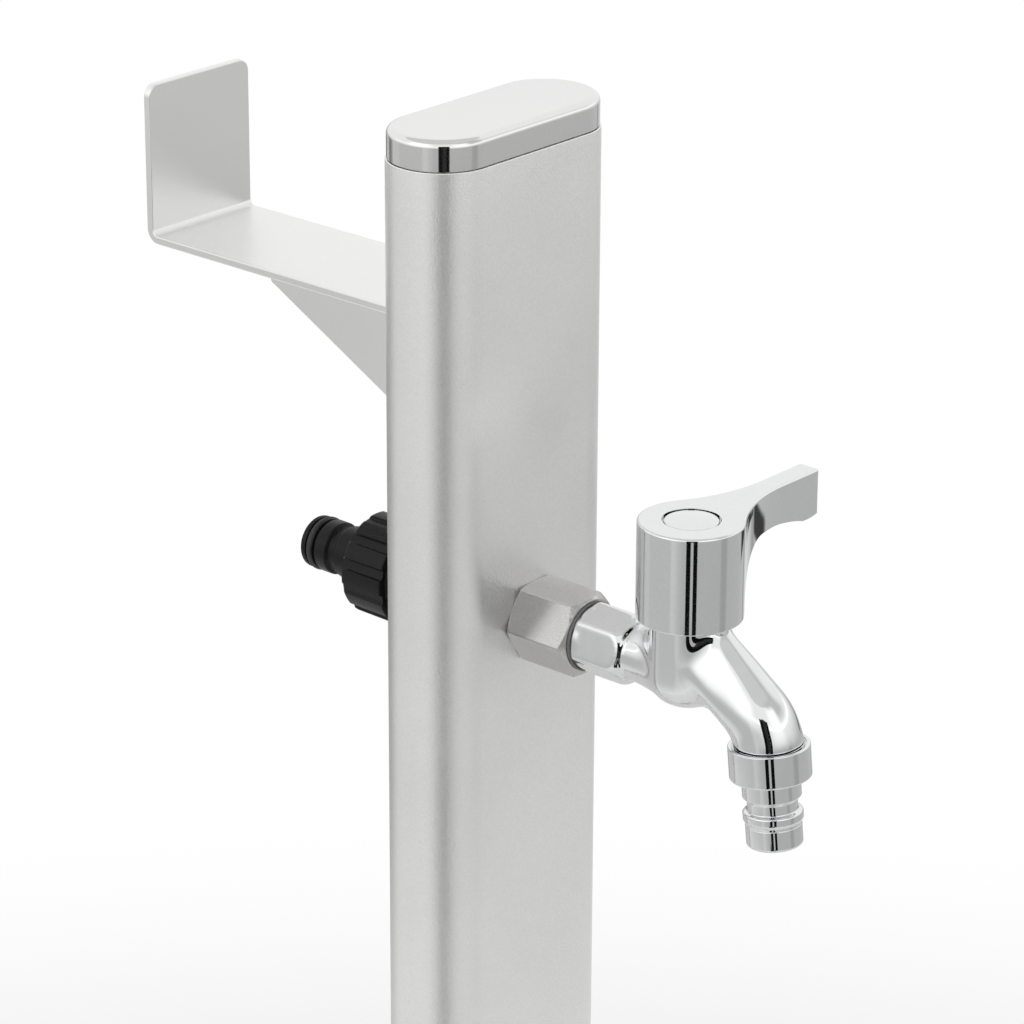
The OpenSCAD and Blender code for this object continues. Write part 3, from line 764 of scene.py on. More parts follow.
FIBRE = Finish("grey_fibre", (0.10, 0.10, 0.10), (0.20, 0.20, 0.195), 0.0, (0.45, 0.6), 0.4, 0.004)
BRASS = Finish("turned_brass", (0.55, 0.40, 0.18), (0.68, 0.52, 0.27), 1.0, (0.20, 0.32),
               0.8, 0.0015, (200, 3500, 200), 0.0008)
STEEL = Finish("brushed_steel", (0.48, 0.48, 0.48), (0.60, 0.60, 0.60), 1.0, (0.26, 0.38),
               0.7, 0.002, (40, 1800, 1800), 0.001, 0.4)
CERAMIC = Finish("lapped_ceramic", (0.74, 0.74, 0.71), (0.82, 0.82, 0.80), 0.0, (0.12, 0.2),
                 0.3, 0.0004)

KEPT_NODES: dict[Finish, tuple[str, ...]] = {
    STEEL: ("foot_plate", "foot_screws", "holder_rivets", "rear_washer", "spindle_clip",
            "lever_screw"),
    BRASS: ("through_pipe", "lock_nut", "valve_insert", "spindle"),
    RUBBER: ("inlet_oring", "inlet_seal", "seat_seal", "insert_seal", "spindle_seal",
             "outlet_washer"),
    FIBRE: ("tail_washer",),
    CERAMIC: ("fixed_disc", "moving_disc"),
}


@dataclass(frozen=True)
class Edge:
    """Rounding that a finished piece gets along its sharp edges, in millimetres."""

    width: float
    steps: int = 2
    angle: float = 50.0


@dataclass
class Piece:
    """A finished piece: its name, finish, slot, what it stands for and what carries it."""

    name: str
    form: Form
    finish: Finish
    slot: str
    nodes: tuple[str, ...]
    edge: Edge | None = None
    wall: float = 0.0
    cast: bool = False
    body: Body = Body.STAND

    def build(self, shop: FinishShop) -> None:
        """Args:
            shop: where the finish's material comes from.
        """
        mesh = self.form.mesh(self.name)
        mesh.shade_smooth()
        mesh.set_sharp_from_angle(angle=SHARP_ANGLE)
        mesh.materials.append(shop.material(self.finish))
        thing = show(self.name, mesh)
        if self.wall:
            modify(thing, "wall", "SOLIDIFY", thickness=self.wall * MM, offset=-1,
                   use_even_offset=True)
        if self.edge:
            modify(thing, "ease", "BEVEL", width=self.edge.width * MM, segments=self.edge.steps,
                   limit_method="ANGLE", angle_limit=math.radians(self.edge.angle))
        if not self.cast:
            modify(thing, "weigh", "WEIGHTED_NORMAL", keep_sharp=True)
        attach(thing, self.body.value)
        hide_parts(*self.nodes)
        LOG.info("%s: %d faces", self.name, len(mesh.polygons))


@dataclass
class Column:
    """The tube and its cap."""

    radius: float = 17.0
    spread: float = 23.0
    foot: float = 8.0
    height: float = 932.0
    wall: float = 2.2
    cap_inset: float = 0.4
    cap_height: float = 9.7
    cap_round: float = 2.4
    groove: float = 0.35
    sides: int = 192

    def tube(self) -> Piece:
        """Draws the oval tube with eased rims.

        Returns:
            The tube.
        """
        form = Form.oval(self.radius, self.spread, self.sides, False).turn(raised(self.foot))
        form.raise_edges(self.height)
        return Piece("column_tube", form, ANODISED, "aluminium", ("column",), Edge(0.25), self.wall)

    def cap(self) -> Piece:
        """Draws the lid with its rounded upper edge and a shallow step under it.

        Returns:
            The cap.
        """
        form = Form.oval(self.radius - self.cap_inset, self.spread, self.sides, True)
        form.turn(raised(COLUMN_TOP + self.groove)).raise_faces(self.cap_height - self.groove)
        form.ease(form.rim(COLUMN_TOP + self.cap_height), self.cap_round, 6)
        seat = Form.oval(self.radius - self.wall, self.spread, self.sides, True)
        form.add(seat.turn(raised(COLUMN_TOP - 1)).raise_faces(self.groove + 2))
        return Piece("column_cap", form, CAP_METAL, "cap", ("top_cap",))

    def pieces(self) -> list[Piece]:
        """Gives the column's pieces."""
        return [self.tube(), self.cap()]


@dataclass
class Holder:
    """The bent hose holder and its two gussets."""

    width: float = 44.0
    thick: float = 2.5
    back: float = 17.0
    drop: float = 52.3
    reach: float = 108.0
    rise: float = 49.0
    flange: float = 38.0
    bend: float = 2.0
    corner: float = 4.0
    gusset_length: float = 56.0
    gusset_drop: float = 29.5
    gusset_nose: float = 1.1
    gusset_sink: float = 0.4

    def plate(self) -> Piece:
        """Bends one strip into flange, shelf and upturned end with round corners.

        Returns:
            The plate.
        """
        top = COLUMN_TOP - self.drop
        low = top - self.thick
        outer = self.bend + self.thick
        tip = top + self.rise
        end = self.back + self.reach
        form = Form.slab([
            Corner(self.back, low - self.flange),
            Corner(self.back, top, outer, 8),
            Corner(end, top, self.bend, 6),
            Corner(end, tip),
            Corner(end + self.thick, tip),
            Corner(end + self.thick, low, outer, 8),
            Corner(self.back + self.thick, low, self.bend, 6),
            Corner(self.back + self.thick, low - self.flange),
        ], self.width)
        form.turn(on_side(-self.width / 2))
        across = [e for e in form.rim(tip) if abs(e.verts[0].co.x - e.verts[1].co.x) < MERGE]
        form.ease(across, self.corner, 8)
        return Piece("holder_plate_bent", form, HOLDER_SATIN, "holder", ("holder_plate",),
                     Edge(0.35, 3))

    def gusset(self, name: str, left: float) -> Piece:
        """Draws one gusset flush with a side of the plate.

        Args:
            name: the side's name.
            left: where its left face stands.

        Returns:
            The gusset.
        """
        low = COLUMN_TOP - self.drop - self.thick + self.gusset_sink
        start = self.back + self.thick
        end = self.back + self.gusset_length
        form = Form.slab([
            Corner(start, low - self.bend),
            Corner(start + self.bend, low, 0.4, 2),
            Corner(end, low),
            Corner(end, low - self.gusset_nose, 0.7, 3),
            Corner(start, low - self.gusset_drop),
        ], self.thick)
        form.turn(on_side(left))
        return Piece(f"holder_gusset_{name}", form, HOLDER_SATIN, "holder", (f"gusset_{name}",),
                     Edge(0.25))

    def pieces(self) -> list[Piece]:
        """Gives the holder's pieces."""
        half = self.width / 2
        return [self.plate(), self.gusset("left", -half), self.gusset("right", half - self.thick)]


@dataclass
class Coupling:
    """The hexagon coupling against the column's front."""

    start: float = 17.0
    length: float = 22.7
    flats: float = 24.0
    turn: float = 3.0
    bore: float = 10.5
    rim: float = 11.5
    corner_round: float = 0.5

    def pieces(self) -> list[Piece]:
        """Draws the hexagon, turns its outer corners off and bores it.

        Returns:
            The coupling.
        """
        corner = self.flats / math.sqrt(3)
        form = Form.rod(6, corner, self.length).turn(Matrix.Rotation(math.pi / 2, 4, "Z"))
        form.ease(form.upright(), self.corner_round, 4)
        form.meet(Join.COMMON, Form.lathe([
            Corner(0, -0.01), Corner(self.flats / 2, -0.01, 0.2, 2),
            Corner(corner + 0.05, 1.1, 0.2, 2), Corner(corner + 0.05, self.length - 1.75, 0.3, 3),
            Corner(self.rim, self.length, 0.25, 3), Corner(0, self.length),
        ], 96))
        form.meet(Join.CUT, Form.rod(96, self.bore, self.length + 4, -2))
        form.turn(place(0, -self.start, WATER_Z, Facing.FORWARD, self.turn))
        return [Piece("pipe_coupling", form, COUPLING_STEEL, "coupling", ("hex_coupling",),
                      Edge(0.12))]


@dataclass
class TapBody:
    """The tap's casting: threaded tail, hexagon, bulb, neck, valve body and spout.

    Each point of the neck has its distance before the valve axis and its radius.
    """

    shoulder: float = 40.5
    thread: float = 10.4
    engage: float = 10.5
    tail_flats: float = 20.0
    tail_radius: float = 11.4
    tail_turn: float = 17.0
    tail_round: float = 0.7
    hex_length: float = 13.2
    bulb_reach: float = 6.6
    bulb_round: float = 6.4
    neck: tuple[tuple[float, float], ...] = (
        (-20.8, 8.6), (-17.8, 8.8), (-13.8, 9.1), (-10.5, 9.7), (-5.0, 10.4), (0.0, 10.8))
    valve_radius: float = 12.1
    valve_top: float = 17.4
    valve_bottom: float = 10.2
    valve_round: float = 8.5
    chamber: float = 9.8
    chamber_depth: float = 14.0
    seat: float = 8.0
    reach: float = MOUTH_OUT
    fall: float = MOUTH_DROP
    lean: float = 6.0
    slope: float = 38.0
    bend: float = 12.0
    bend_steps: int = 12
    spout: float = 10.25
    mouth: float = 10.75
    spare: float = 1.5
    lip: float = 0.6
    bore: float = 5.5
    bore_start: float = -8.0
    bore_length: float = 10.0
    ring_start: float = 0.3
    ring_end: float = 7.0
    root_start: float = 9.0
    root_length: float = 17.0
    root_span: float = 1.1
    root_flare: float = 0.12
    root_squeeze: float = 0.42
    blend: float = 6.0
    blend_steps: int = 6
    coarse: float = 0.55
    voxel: float = 0.34
    rounds: int = 14

    def tail(self) -> Form:
        """Draws the hexagon with turned corners and the bulb behind it.

        Returns:
            The tail.
        """
        length = self.hex_length + self.bulb_reach
        hexagon = Form.rod(6, self.tail_flats / math.sqrt(3), length)
        hexagon.turn(Matrix.Rotation(math.pi / 2, 4, "Z"))
        hexagon.ease(hexagon.upright(), self.tail_round, 4)
        hexagon.meet(Join.COMMON, Form.lathe([
            Corner(0, -0.01), Corner(self.tail_radius - 0.8, -0.01), Corner(self.tail_radius, 0.8),
            Corner(self.tail_radius, length, self.bulb_round, 12), Corner(0, length + 0.01),
        ]))
        return hexagon.turn(place(0, -self.shoulder, WATER_Z, Facing.FORWARD, self.tail_turn))

    @staticmethod
    def tube(points: Sequence[Point]) -> Form:
        """Draws a round tube along points before and above the valve axis.

        Args:
            points: distance forward, height and radius of each point, in millimetres.

        Returns:
            The closed tube.
        """
        curve = bpy.data.curves.new("tube", "CURVE")
        curve.dimensions = "3D"
        curve.bevel_depth = MM
        curve.bevel_resolution = 18
        curve.use_fill_caps = True
        line = curve.splines.new("POLY")
        line.points.add(len(points) - 1)
        for point, (out, up, radius) in zip(line.points, points):
            point.co = (0, (VALVE_Y - out) * MM, (WATER_Z + up) * MM, 1)
            point.radius = radius
        form = Form().settle([show("tube", curve)], [])
        bpy.data.curves.remove(curve)
        return form.seal()

    def spout_line(self) -> list[Point]:
        """Works out the spout's middle line from its mouth back into the valve body.

        Returns:
            Distance forward, height and radius of each point.
        """
        lean, slope = math.radians(self.lean), math.radians(self.slope)
        turn = math.pi / 2 - lean - slope
        middle_out = self.reach - self.bend * math.cos(lean)
        middle_up = -self.fall - self.bend * math.sin(lean)
        points = [(self.reach + self.spare * math.sin(lean),
                   -self.fall - self.spare * math.cos(lean), self.mouth)]
        for step in range(self.bend_steps + 1):
            angle = lean + turn * step / self.bend_steps
            taper = min(1.0, step / 4)
            points.append((middle_out + self.bend * math.cos(angle),
                           middle_up + self.bend * math.sin(angle),
                           self.mouth + (self.spout - self.mouth) * taper))
        out, up, _ = points[-1]
        for share in (0.5, 1.0):
            back = (out - 3.0) * share
            points.append((out - back, up + back * math.tan(slope), self.spout))
        return points

    def spout_root(self) -> Form:
        """Draws the spout, whose root is as wide as the valve body below and narrow on top.

        Returns:
            The spout.
        """
        line = self.spout_line()
        spout = self.tube(line)
        slope = math.radians(self.slope)
        out_end, up_end, _ = line[-3]
        half = self.spout / math.cos(slope)
        for vert in spout.bm.verts:
            out = VALVE_Y - vert.co.y / MM
            middle = up_end + (out_end - out) * math.tan(slope)
            height = clamp(((vert.co.z / MM - WATER_Z - middle) / half + 0.5) / self.root_span)
            rise = height * height * (3 - 2 * height)
            root = 1 - clamp((out - self.root_start) / self.root_length)
            vert.co.x *= 1 + root * (self.root_flare - (self.root_flare + self.root_squeeze) * rise)
        return spout

    def casting(self) -> Form:
        """Fuses tail, neck, valve body and spout, and blends where they meet.

        Returns:
            The solid casting.
        """
        body = Form.lathe([
            Corner(0, -self.valve_bottom),
            Corner(self.valve_radius, -self.valve_bottom, self.valve_round, 12),
            Corner(self.valve_radius, self.valve_top + 3),
            Corner(0, self.valve_top + 3),
        ], 96)
        body.turn(place(0, VALVE_Y, WATER_Z))
        body.add(self.tube([(out, 0, radius) for out, radius in self.neck]))
        body.add(self.spout_root())
        body.melt(self.coarse, 2)
        body.blend(self.blend, self.blend_steps, self.coarse)
        body.add(self.tail())
        thread = Form.rod(96, self.thread, self.engage + 2, -self.engage)
        body.add(thread.turn(place(0, -self.shoulder, WATER_Z, Facing.FORWARD)))
        body.melt(self.voxel, self.rounds)
        body.slice((0, VALVE_Y, WATER_Z + self.valve_top), (0, 0, 1))
        out, down = math.sin(math.radians(self.lean)), math.cos(math.radians(self.lean))
        lip = (0, VALVE_Y - self.reach - self.lip * out, WATER_Z - self.fall - self.lip * down)
        return body.slice(lip, (0, -out, -down))

    def pieces(self) -> list[Piece]:
        """Bores the casting and adds the outlet's thread.

        Returns:
            The tap body.
        """
        form = self.casting()
        chamber = Form.rod(96, self.chamber, self.chamber_depth, self.seat)
        form.meet(Join.CUT, chamber.turn(place(0, VALVE_Y, WATER_Z)))
        mouth = place(0, VALVE_Y - self.reach, WATER_Z - self.fall, Facing.MOUTH)
        waterway = Form.rod(64, self.bore, self.bore_length, self.bore_start)
        form.meet(Join.CUT, waterway.turn(mouth))
        form.add(Form.lathe([
            Corner(self.bore, self.ring_start), Corner(self.thread, self.ring_start),
            Corner(self.thread, self.ring_end, 0.6, 2), Corner(self.bore, self.ring_end),
        ], 96, True).turn(mouth))
        return [Piece("tap_casting", form, CHROME, "chrome", ("tap_body",), cast=True)]


@dataclass
class Handle:
    """The lever on its barrel and the index cap."""

    bottom: float = 17.9
    height: float = 30.8
    radius: float = 16.25
    cavity: float = 14.05
    web: float = 31.05
    length: float = 58.2
    width: float = 7.4
    shift: float = 1.1
    root: float = 52.0
    under: float = 13.0
    tip: float = 15.0
    waist: float = 12.3
    index: float = 8.3
    recess: float = 8.9
    recess_depth: float = 3.0
    crown: float = 0.7
    end_round: float = 0.9
    top_round: float = 0.85
    low_round: float = 0.45
    root_steps: int = 28
    sides: int = 192

    @property
    def top(self) -> float:
        """Height of the lever's top over the water axis."""
        return self.bottom + self.height

    @staticmethod
    def arc(x: float, y: float, radius: float, start: float, sweep: float, steps: range,
            count: int) -> list[Corner]:
        """Works out corners along an arc.

        Args:
            x, y: its centre.
            radius: its radius.
            start: its first angle.
            sweep: the angle from its first to its last corner.
            steps: which of its corners are wanted.
            count: number of steps from its first to its last corner.

        Returns:
            The wanted corners.
        """
        angles = [start + sweep * step / count for step in steps]
        return [Corner(x + radius * math.cos(a), y + radius * math.sin(a)) for a in angles]

    def outline(self) -> list[Corner]:
        """Draws barrel, root fillets and arm as one outline seen from above.

        Returns:
            The outline.
        """
        halves: dict[int, list[Corner]] = {}
        touch: dict[int, float] = {}
        for side in (-1, 1):
            flank = self.width / 2 + side * self.shift
            centre_y = flank + self.root
            centre_x = math.sqrt((self.radius + self.root) ** 2 - centre_y ** 2)
            touch[side] = side * math.atan2(centre_y, centre_x)
            sweep = side * (math.pi / 2 - abs(touch[side]))
            fillet = self.arc(centre_x, side * centre_y, self.root, touch[side] + math.pi, sweep,
                              range(self.root_steps + 1), self.root_steps)
            halves[side] = [*fillet, Corner(self.length, side * flank, self.end_round, 4)]
        turn = math.tau - touch[1] + touch[-1]
        count = self.sides - 1
        barrel = self.arc(0, 0, self.radius, touch[1], turn, range(1, count), count)
        return [*halves[-1], *reversed(halves[1]), *barrel]

    def under_space(self) -> Form:
        """Turns the space under the arm, which rises from the barrel's wall to the waist.

        Returns:
            The space that is cut away.
        """
        neck = self.top - self.waist
        tip = self.top - self.tip
        far = self.length + 6
        start = self.radius + 0.03
        return Form.lathe([
            Corner(start, self.bottom - 3), Corner(start, neck, self.under, 24),
            Corner(self.length - 15, neck, 8.0, 8), Corner(self.length - 7.5, tip, 2.0, 4),
            Corner(self.length - 4, tip - 0.1, 1.5, 4), Corner(self.length + 0.5, tip + 0.8),
            Corner(far, tip + 1.6), Corner(far, self.bottom - 3),
        ], self.sides, True)

    def lever(self) -> Piece:
        """Raises the outline, rounds its rims, and cuts the space under the arm and the bores.

        Returns:
            The lever.
        """
        form = Form.slab(self.outline(), self.height).turn(raised(self.bottom))
        form.ease(form.rim(self.top), self.top_round, 4)
        form.ease(form.rim(self.bottom), self.low_round, 4)
        form.meet(Join.CUT, self.under_space())
        form.meet(Join.CUT, Form.rod(128, self.cavity, self.web - self.bottom + 1, self.bottom - 1))
        floor = self.top - self.recess_depth
        form.meet(Join.CUT, Form.rod(128, self.recess, self.recess_depth + 0.2, floor))
        form.turn(place(0, VALVE_Y, WATER_Z))
        return Piece("lever_handle", form, LEVER_CHROME, "lever_chrome", ("lever",), Edge(0.2),
                     body=Body.HANDLE)

    def index_cap(self) -> Piece:
        """Turns the crowned index cap.

        Returns:
            The cap.
        """
        rim = self.top - 0.15
        form = Form.lathe([
            Corner(0, rim + self.crown - 0.15),
            Corner(self.index * 0.5, rim + self.crown * 0.55, 1.5, 6),
            Corner(self.index, rim - 0.1, 0.3, 4),
            Corner(self.index, rim - 2.5),
            Corner(0, rim - 2.5),
        ])
        form.turn(place(0, VALVE_Y, WATER_Z))
        return Piece("lever_index", form, LEVER_CHROME, "lever_chrome", ("index_cap",),
                     body=Body.HANDLE)

    def pieces(self) -> list[Piece]:
        """Gives the handle's pieces."""
        return [self.lever(), self.index_cap()]


@dataclass
class Outlet:
    """The collar and push-fit nose under the spout.

    The profile holds radius and distance from the mouth, from the bore over collar, neck, bead
    and nose.
    """

    reach: float = MOUTH_OUT
    fall: float = MOUTH_DROP
    profile: tuple[Corner, ...] = (
        Corner(5.5, 9.0), Corner(10.5, 9.0), Corner(10.5, 1.4), Corner(11.25, 1.4),
        Corner(11.25, 0, 0.15, 2), Corner(12.45, 0, 0.35, 4), Corner(12.45, 10.3, 0.8, 5),
        Corner(9.3, 10.3, 0.3, 3), Corner(8.95, 10.8, 0.2, 3), Corner(8.95, 16.3, 0.4, 4),
        Corner(7.65, 17.0, 0.5, 4), Corner(7.65, 20.5, 0.35, 4), Corner(9.15, 20.95, 0.5, 5),
        Corner(9.15, 23.5, 0.5, 4), Corner(8.6, 24.2, 0.15, 3), Corner(8.6, 24.9, 0.06, 2),
        Corner(8.5, 25.0, 0.05, 2), Corner(8.5, 25.15, 0.05, 2), Corner(8.6, 25.25, 0.06, 2),
        Corner(8.6, 31.85, 1.1, 6), Corner(5.5, 31.85, 0.4, 3))

    def pieces(self) -> list[Piece]:
        """Turns the nozzle from its profile.

        Returns:
            The nozzle.
        """
        form = Form.lathe(self.profile, 160, True)
        form.turn(place(0, VALVE_Y - self.reach, WATER_Z - self.fall, Facing.MOUTH))
        return [Piece("outlet_nose", form, CHROME, "chrome", ("outlet_nozzle",))]


@dataclass
class Inlet:
    """The black push-fit adaptor behind the column.

    The profile holds radius and distance behind the column's middle, from skirt to nose tip.
    """

    start: float = 25.5
    grip: float = 33.0
    grip_length: float = 17.0
    grip_radius: float = 16.8
    ribs: int = 12
    rib_depth: float = 1.3
    notch_root: float = 1.3
    notch_rim: float = 3.2
    bore: float = 5.0
    socket: float = 10.5
    socket_depth: float = 20.5
    profile: tuple[Corner, ...] = (
        Corner(0, 25.5), Corner(14.5, 25.5, 0.5, 3), Corner(14.5, 34.0), Corner(9.4, 34.0),
        Corner(9.4, 50.0, 0.8, 4), Corner(8.9, 50.8, 0.3, 2), Corner(8.9, 54.0, 0.3, 2),
        Corner(8.6, 54.7, 0.3, 2), Corner(8.6, 60.8, 0.5, 4), Corner(7.2, 61.6, 0.5, 4),
        Corner(7.2, 64.0, 0.5, 4), Corner(8.6, 64.8, 0.4, 3), Corner(8.6, 69.2, 0.3, 2),
        Corner(7.4, 69.3, 0.2, 2), Corner(7.4, 70.2), Corner(8.5, 70.3, 0.2, 2),
        Corner(8.5, 71.9, 0.2, 2), Corner(6.6, 72.0), Corner(6.6, 73.2), Corner(8.5, 73.3, 0.2, 2),
        Corner(8.5, 75.5, 0.9, 5), Corner(0, 75.5))

    def rib_ring(self) -> Form:
        """Draws the ribbed grip from one notch that is turned around it.

        Returns:
            The grip.
        """
        form = Form.lathe([
            Corner(0, 0), Corner(self.grip_radius, 0, 0.5, 3),
            Corner(self.grip_radius - 0.2, self.grip_length, 1.2, 5), Corner(0, self.grip_length),
        ], 144)
        core = self.grip_radius - self.rib_depth
        outside = self.grip_radius + 2
        for index in range(self.ribs):
            notch = Form.slab([
                Corner(core + 0.25, -self.notch_root, 0.3, 2), Corner(outside, -self.notch_rim),
                Corner(outside, self.notch_rim), Corner(core, self.notch_root, 0.3, 2),
            ], self.grip_length + 4)
            spin = Matrix.Rotation(math.tau * (index + 0.5) / self.ribs, 4, "Z")
            form.meet(Join.CUT, notch.turn(spin @ raised(-2)))
        return form.turn(raised(self.grip))

    def pieces(self) -> list[Piece]:
        """Turns skirt and nose, joins the grip and bores the adaptor.

        Returns:
            The adaptor.
        """
        form = Form.lathe(self.profile, 144)
        form.meet(Join.ADD, self.rib_ring())
        form.meet(Join.CUT, Form.rod(96, self.socket, self.socket_depth, self.start - 1))
        form.meet(Join.CUT, Form.rod(96, self.bore, 60, self.start))
        form.turn(place(0, 0, WATER_Z, Facing.BACKWARD))
        return [Piece("inlet_grip", form, BLACK_PLASTIC, "black_plastic", ("inlet_adaptor",))]


@dataclass(frozen=True)
class SoftBox:
    """A glowing sheet of the studio, which only shows in glossy surfaces.

    Spread and rise hold the distances from the middle where the glow starts to fade and where
    it ends.
    """

    name: str
    bearing: float
    spread: tuple[float, float]
    distance: float
    height: float
    rise: tuple[float, float]
    shade: float


@dataclass(frozen=True)
class Lamp:
    """A broad lamp beside the camera."""

    name: str
    bearing: float
    power: float


@dataclass
class Studio:
    """Floor, white surroundings, soft lamps and the photograph's camera.

    Each tone of the wall has its bearing from the camera's side and its grey.
    """

    azimuth: float = -48.548
    elevation: float = 21.83
    roll: float = 0.236
    focal: float = 4364.4
    frame_px: float = 1024.0
    sensor: float = 36.0
    eye: Point = (-0.9317, -0.8305, 1.3205)
    clip: tuple[float, float] = (0.05, 50.0)
    ambient: float = 0.7
    floor_radius: float = 9.0
    floor_grey: RGB = (0.82, 0.82, 0.82)
    floor_rough: float = 0.85
    floor_fade: tuple[float, float] = (0.6, 1.5)
    wall_distance: float = 1.0
    wall_top: float = 1.08
    wall_fade: float = 0.63
    low_fade: tuple[float, float] = (0.40, 0.05)
    low_glow: float = 0.5
    tones: tuple[tuple[float, float], ...] = (
        (-180, 0.25), (-162, 0.16), (-152, 0.30), (-146, 0.22), (-130, 0.22), (-124, 0.30),
        (-117, 0.62), (-98, 0.62), (-94, 0.57), (-42, 0.57), (-38, 0.66), (-32, 0.66), (-26, 0.59),
        (-15, 0.50), (10, 0.51), (60, 0.50), (65, 0.40), (74, 0.40), (79, 0.51), (112, 0.53),
        (135, 0.58), (139, 0.40), (143, 0.40), (148, 0.62), (180, 0.9))
    boxes: tuple[SoftBox, ...] = (
        SoftBox("grey_side", 66, (18, 46), 1.04, 1.86, (0.30, 0.74), 0.62),
        SoftBox("rim_band", 8, (105, 130), 1.02, 1.06, (0.05, 0.22), 1.35),
        SoftBox("key_box", -48, (12, 34), 0.96, 1.40, (0.20, 0.62), 1.35),
        SoftBox("fill_box", 40, (8, 26), 0.96, 1.40, (0.20, 0.62), 1.25),
        SoftBox("slit_left", -3.4, (4.2, 4.7), 0.9, 0.83, (0.385, 0.42), 0.004),
        SoftBox("slit_right", 10.2, (3.8, 4.2), 0.9, 0.83, (0.385, 0.42), 0.004),
        SoftBox("slit_left_low", -6.6, (4.2, 4.7), 0.9, 0.21, (0.222, 0.232), 0.004),
        SoftBox("slit_right_low", 6.0, (3.4, 3.9), 0.9, 0.21, (0.222, 0.232), 0.004),
        SoftBox("slit_head", 3.3, (4.4, 4.8), 0.9, 0.92, (0.31, 0.36), 0.03),
        SoftBox("slit_foot", -0.5, (3.6, 4.0), 0.9, 0.12, (0.10, 0.14), 0.03),
        SoftBox("dark_corner", 116, (6.5, 10), 0.26, 0.7445, (0.006, 0.0095), 0.05),
    )
    ceiling: float = 2.5
    ceiling_radius: float = 1.4
    ceiling_shade: float = 0.72
    lamp_list: tuple[Lamp, ...] = (Lamp("key", -52, 7.5), Lamp("fill", 42, 4.0))
    lamp_distance: float = 1.4
    lamp_height: float = 1.35
    lamp_size: tuple[float, float] = (0.7, 1.1)
    lamp_aim: float = 0.8

    def camera(self) -> None:
        """Stands the camera where the photograph was taken."""
        lens = bpy.data.cameras.new("camera")
        lens.sensor_width = self.sensor
        lens.lens = self.focal / self.frame_px * self.sensor
        lens.clip_start, lens.clip_end = self.clip
        thing = show("camera", lens)
        turn, rise, roll = (math.radians(v) for v in (self.azimuth, self.elevation, self.roll))
        right = Vector((math.cos(turn), math.sin(turn), 0))
        level = math.cos(rise)
        back = Vector((math.sin(turn) * level, -math.cos(turn) * level, math.sin(rise)))
        up = back.cross(right)
        across = right * math.cos(roll) + up * math.sin(roll)
        above = up * math.cos(roll) - right * math.sin(roll)
        rows = Matrix((across, above, back)).transposed()
        thing.matrix_world = Matrix.Translation(self.eye) @ rows.to_4x4()
        bpy.context.scene.camera = thing

    @staticmethod
    def seen(kit: Nodes) -> Socket:
        """Gives 1 for rays from the camera and through or off glossy surfaces.

        Args:
            kit: the nodes that ask.

        Returns:
            The mask.
        """
        rays = kit.add("LightPath").outputs
        first = kit.math("MAXIMUM", rays["Is Camera Ray"], rays["Is Glossy Ray"])
        return kit.math("MAXIMUM", first, rays["Is Transmission Ray"])

    def world(self) -> None:
        """Makes the surroundings white to the eye and in metal, and plain soft light elsewhere."""
        world = bpy.data.worlds.new("studio")
        bpy.context.scene.world = world
        world.use_nodes = True
        world.node_tree.nodes.clear()
        kit = Nodes(world.node_tree)
        soft = kit.add("Background", {"Color": (*WHITE, 1), "Strength": self.ambient})
        shown = kit.add("Background", {"Color": (*WHITE, 1)})
        kit.cover(self.seen(kit), soft, shown, kit.add("OutputWorld"))

    def floor(self) -> None:
        """Lays a pale floor that fades to the white background away from the foot."""
        thing = show("floor", Form.disc(self.floor_radius, 96).mesh("floor"))
        made, kit = new_material("pale_floor")
        thing.data.materials.append(made)
        shader = made.node_tree.nodes["Principled BSDF"]
        kit.feed(shader.inputs["Base Color"], (*self.floor_grey, 1))
        kit.feed(shader.inputs["Roughness"], self.floor_rough)
        white = kit.add("Emission", {"Color": (*WHITE, 1)})
        far = kit.add("VectorMath", {0: kit.where()}, operation="LENGTH")
        fade = kit.ease(far.outputs["Value"], *self.floor_fade)
        kit.cover(kit.math("MULTIPLY", fade, self.seen(kit)), shader, white,
                  made.node_tree.nodes["Material Output"])

    @staticmethod
    def glow(thing: Thing, shade: float) -> tuple[Nodes, bpy.types.Node, bpy.types.Node]:
        """Makes a sheet glow, and hides it from everything but reflections.

        Args:
            thing: the sheet.
            shade: brightness, where 1 is white.

        Returns:
            The material's nodes, its emission node and its output node.
        """
        thing.visible_camera = False
        thing.visible_diffuse = False
        thing.visible_shadow = False
        thing.visible_transmission = False
        made, kit = new_material(thing.name)
        thing.data.materials.append(made)
        made.node_tree.nodes.remove(made.node_tree.nodes["Principled BSDF"])
        output = made.node_tree.nodes["Material Output"]
        glow = kit.add("Emission", {"Color": (shade, shade, shade, 1)})
        kit.feed(output.inputs["Surface"], glow.outputs[0])
        return kit, glow, output

    def sheet(self, name: str, bearing: tuple[float, float], distance: float,
              rise: tuple[float, float]) -> Thing:
        """Stands a sheet that curves round the column.

        Args:
            name: the sheet's name.
            bearing: from and to angle round the column, from the camera's side, in degrees.
            distance: distance from the column in metres.
            rise: lower and upper edge in metres.

        Returns:
            The sheet, without a material.
        """
        form = Form()
        start = math.radians(self.azimuth - 90 + bearing[0])
        sweep = bearing[1] - bearing[0]
        foot = Vector((math.cos(start) * distance, math.sin(start) * distance, rise[0]))
        low = form.bm.verts.new(foot)
        high = form.bm.verts.new(foot + Vector((0, 0, rise[1] - rise[0])))
        edge = form.bm.edges.new((low, high))
        bmesh.ops.spin(form.bm, geom=[low, high, edge], cent=(0, 0, 0), axis=(0, 0, 1),
                       dvec=(0, 0, 0), angle=math.radians(sweep), steps=max(2, int(sweep)),
                       use_merge=False, use_normal_flip=False, use_duplicate=False)
        return show(name, form.mesh(name))

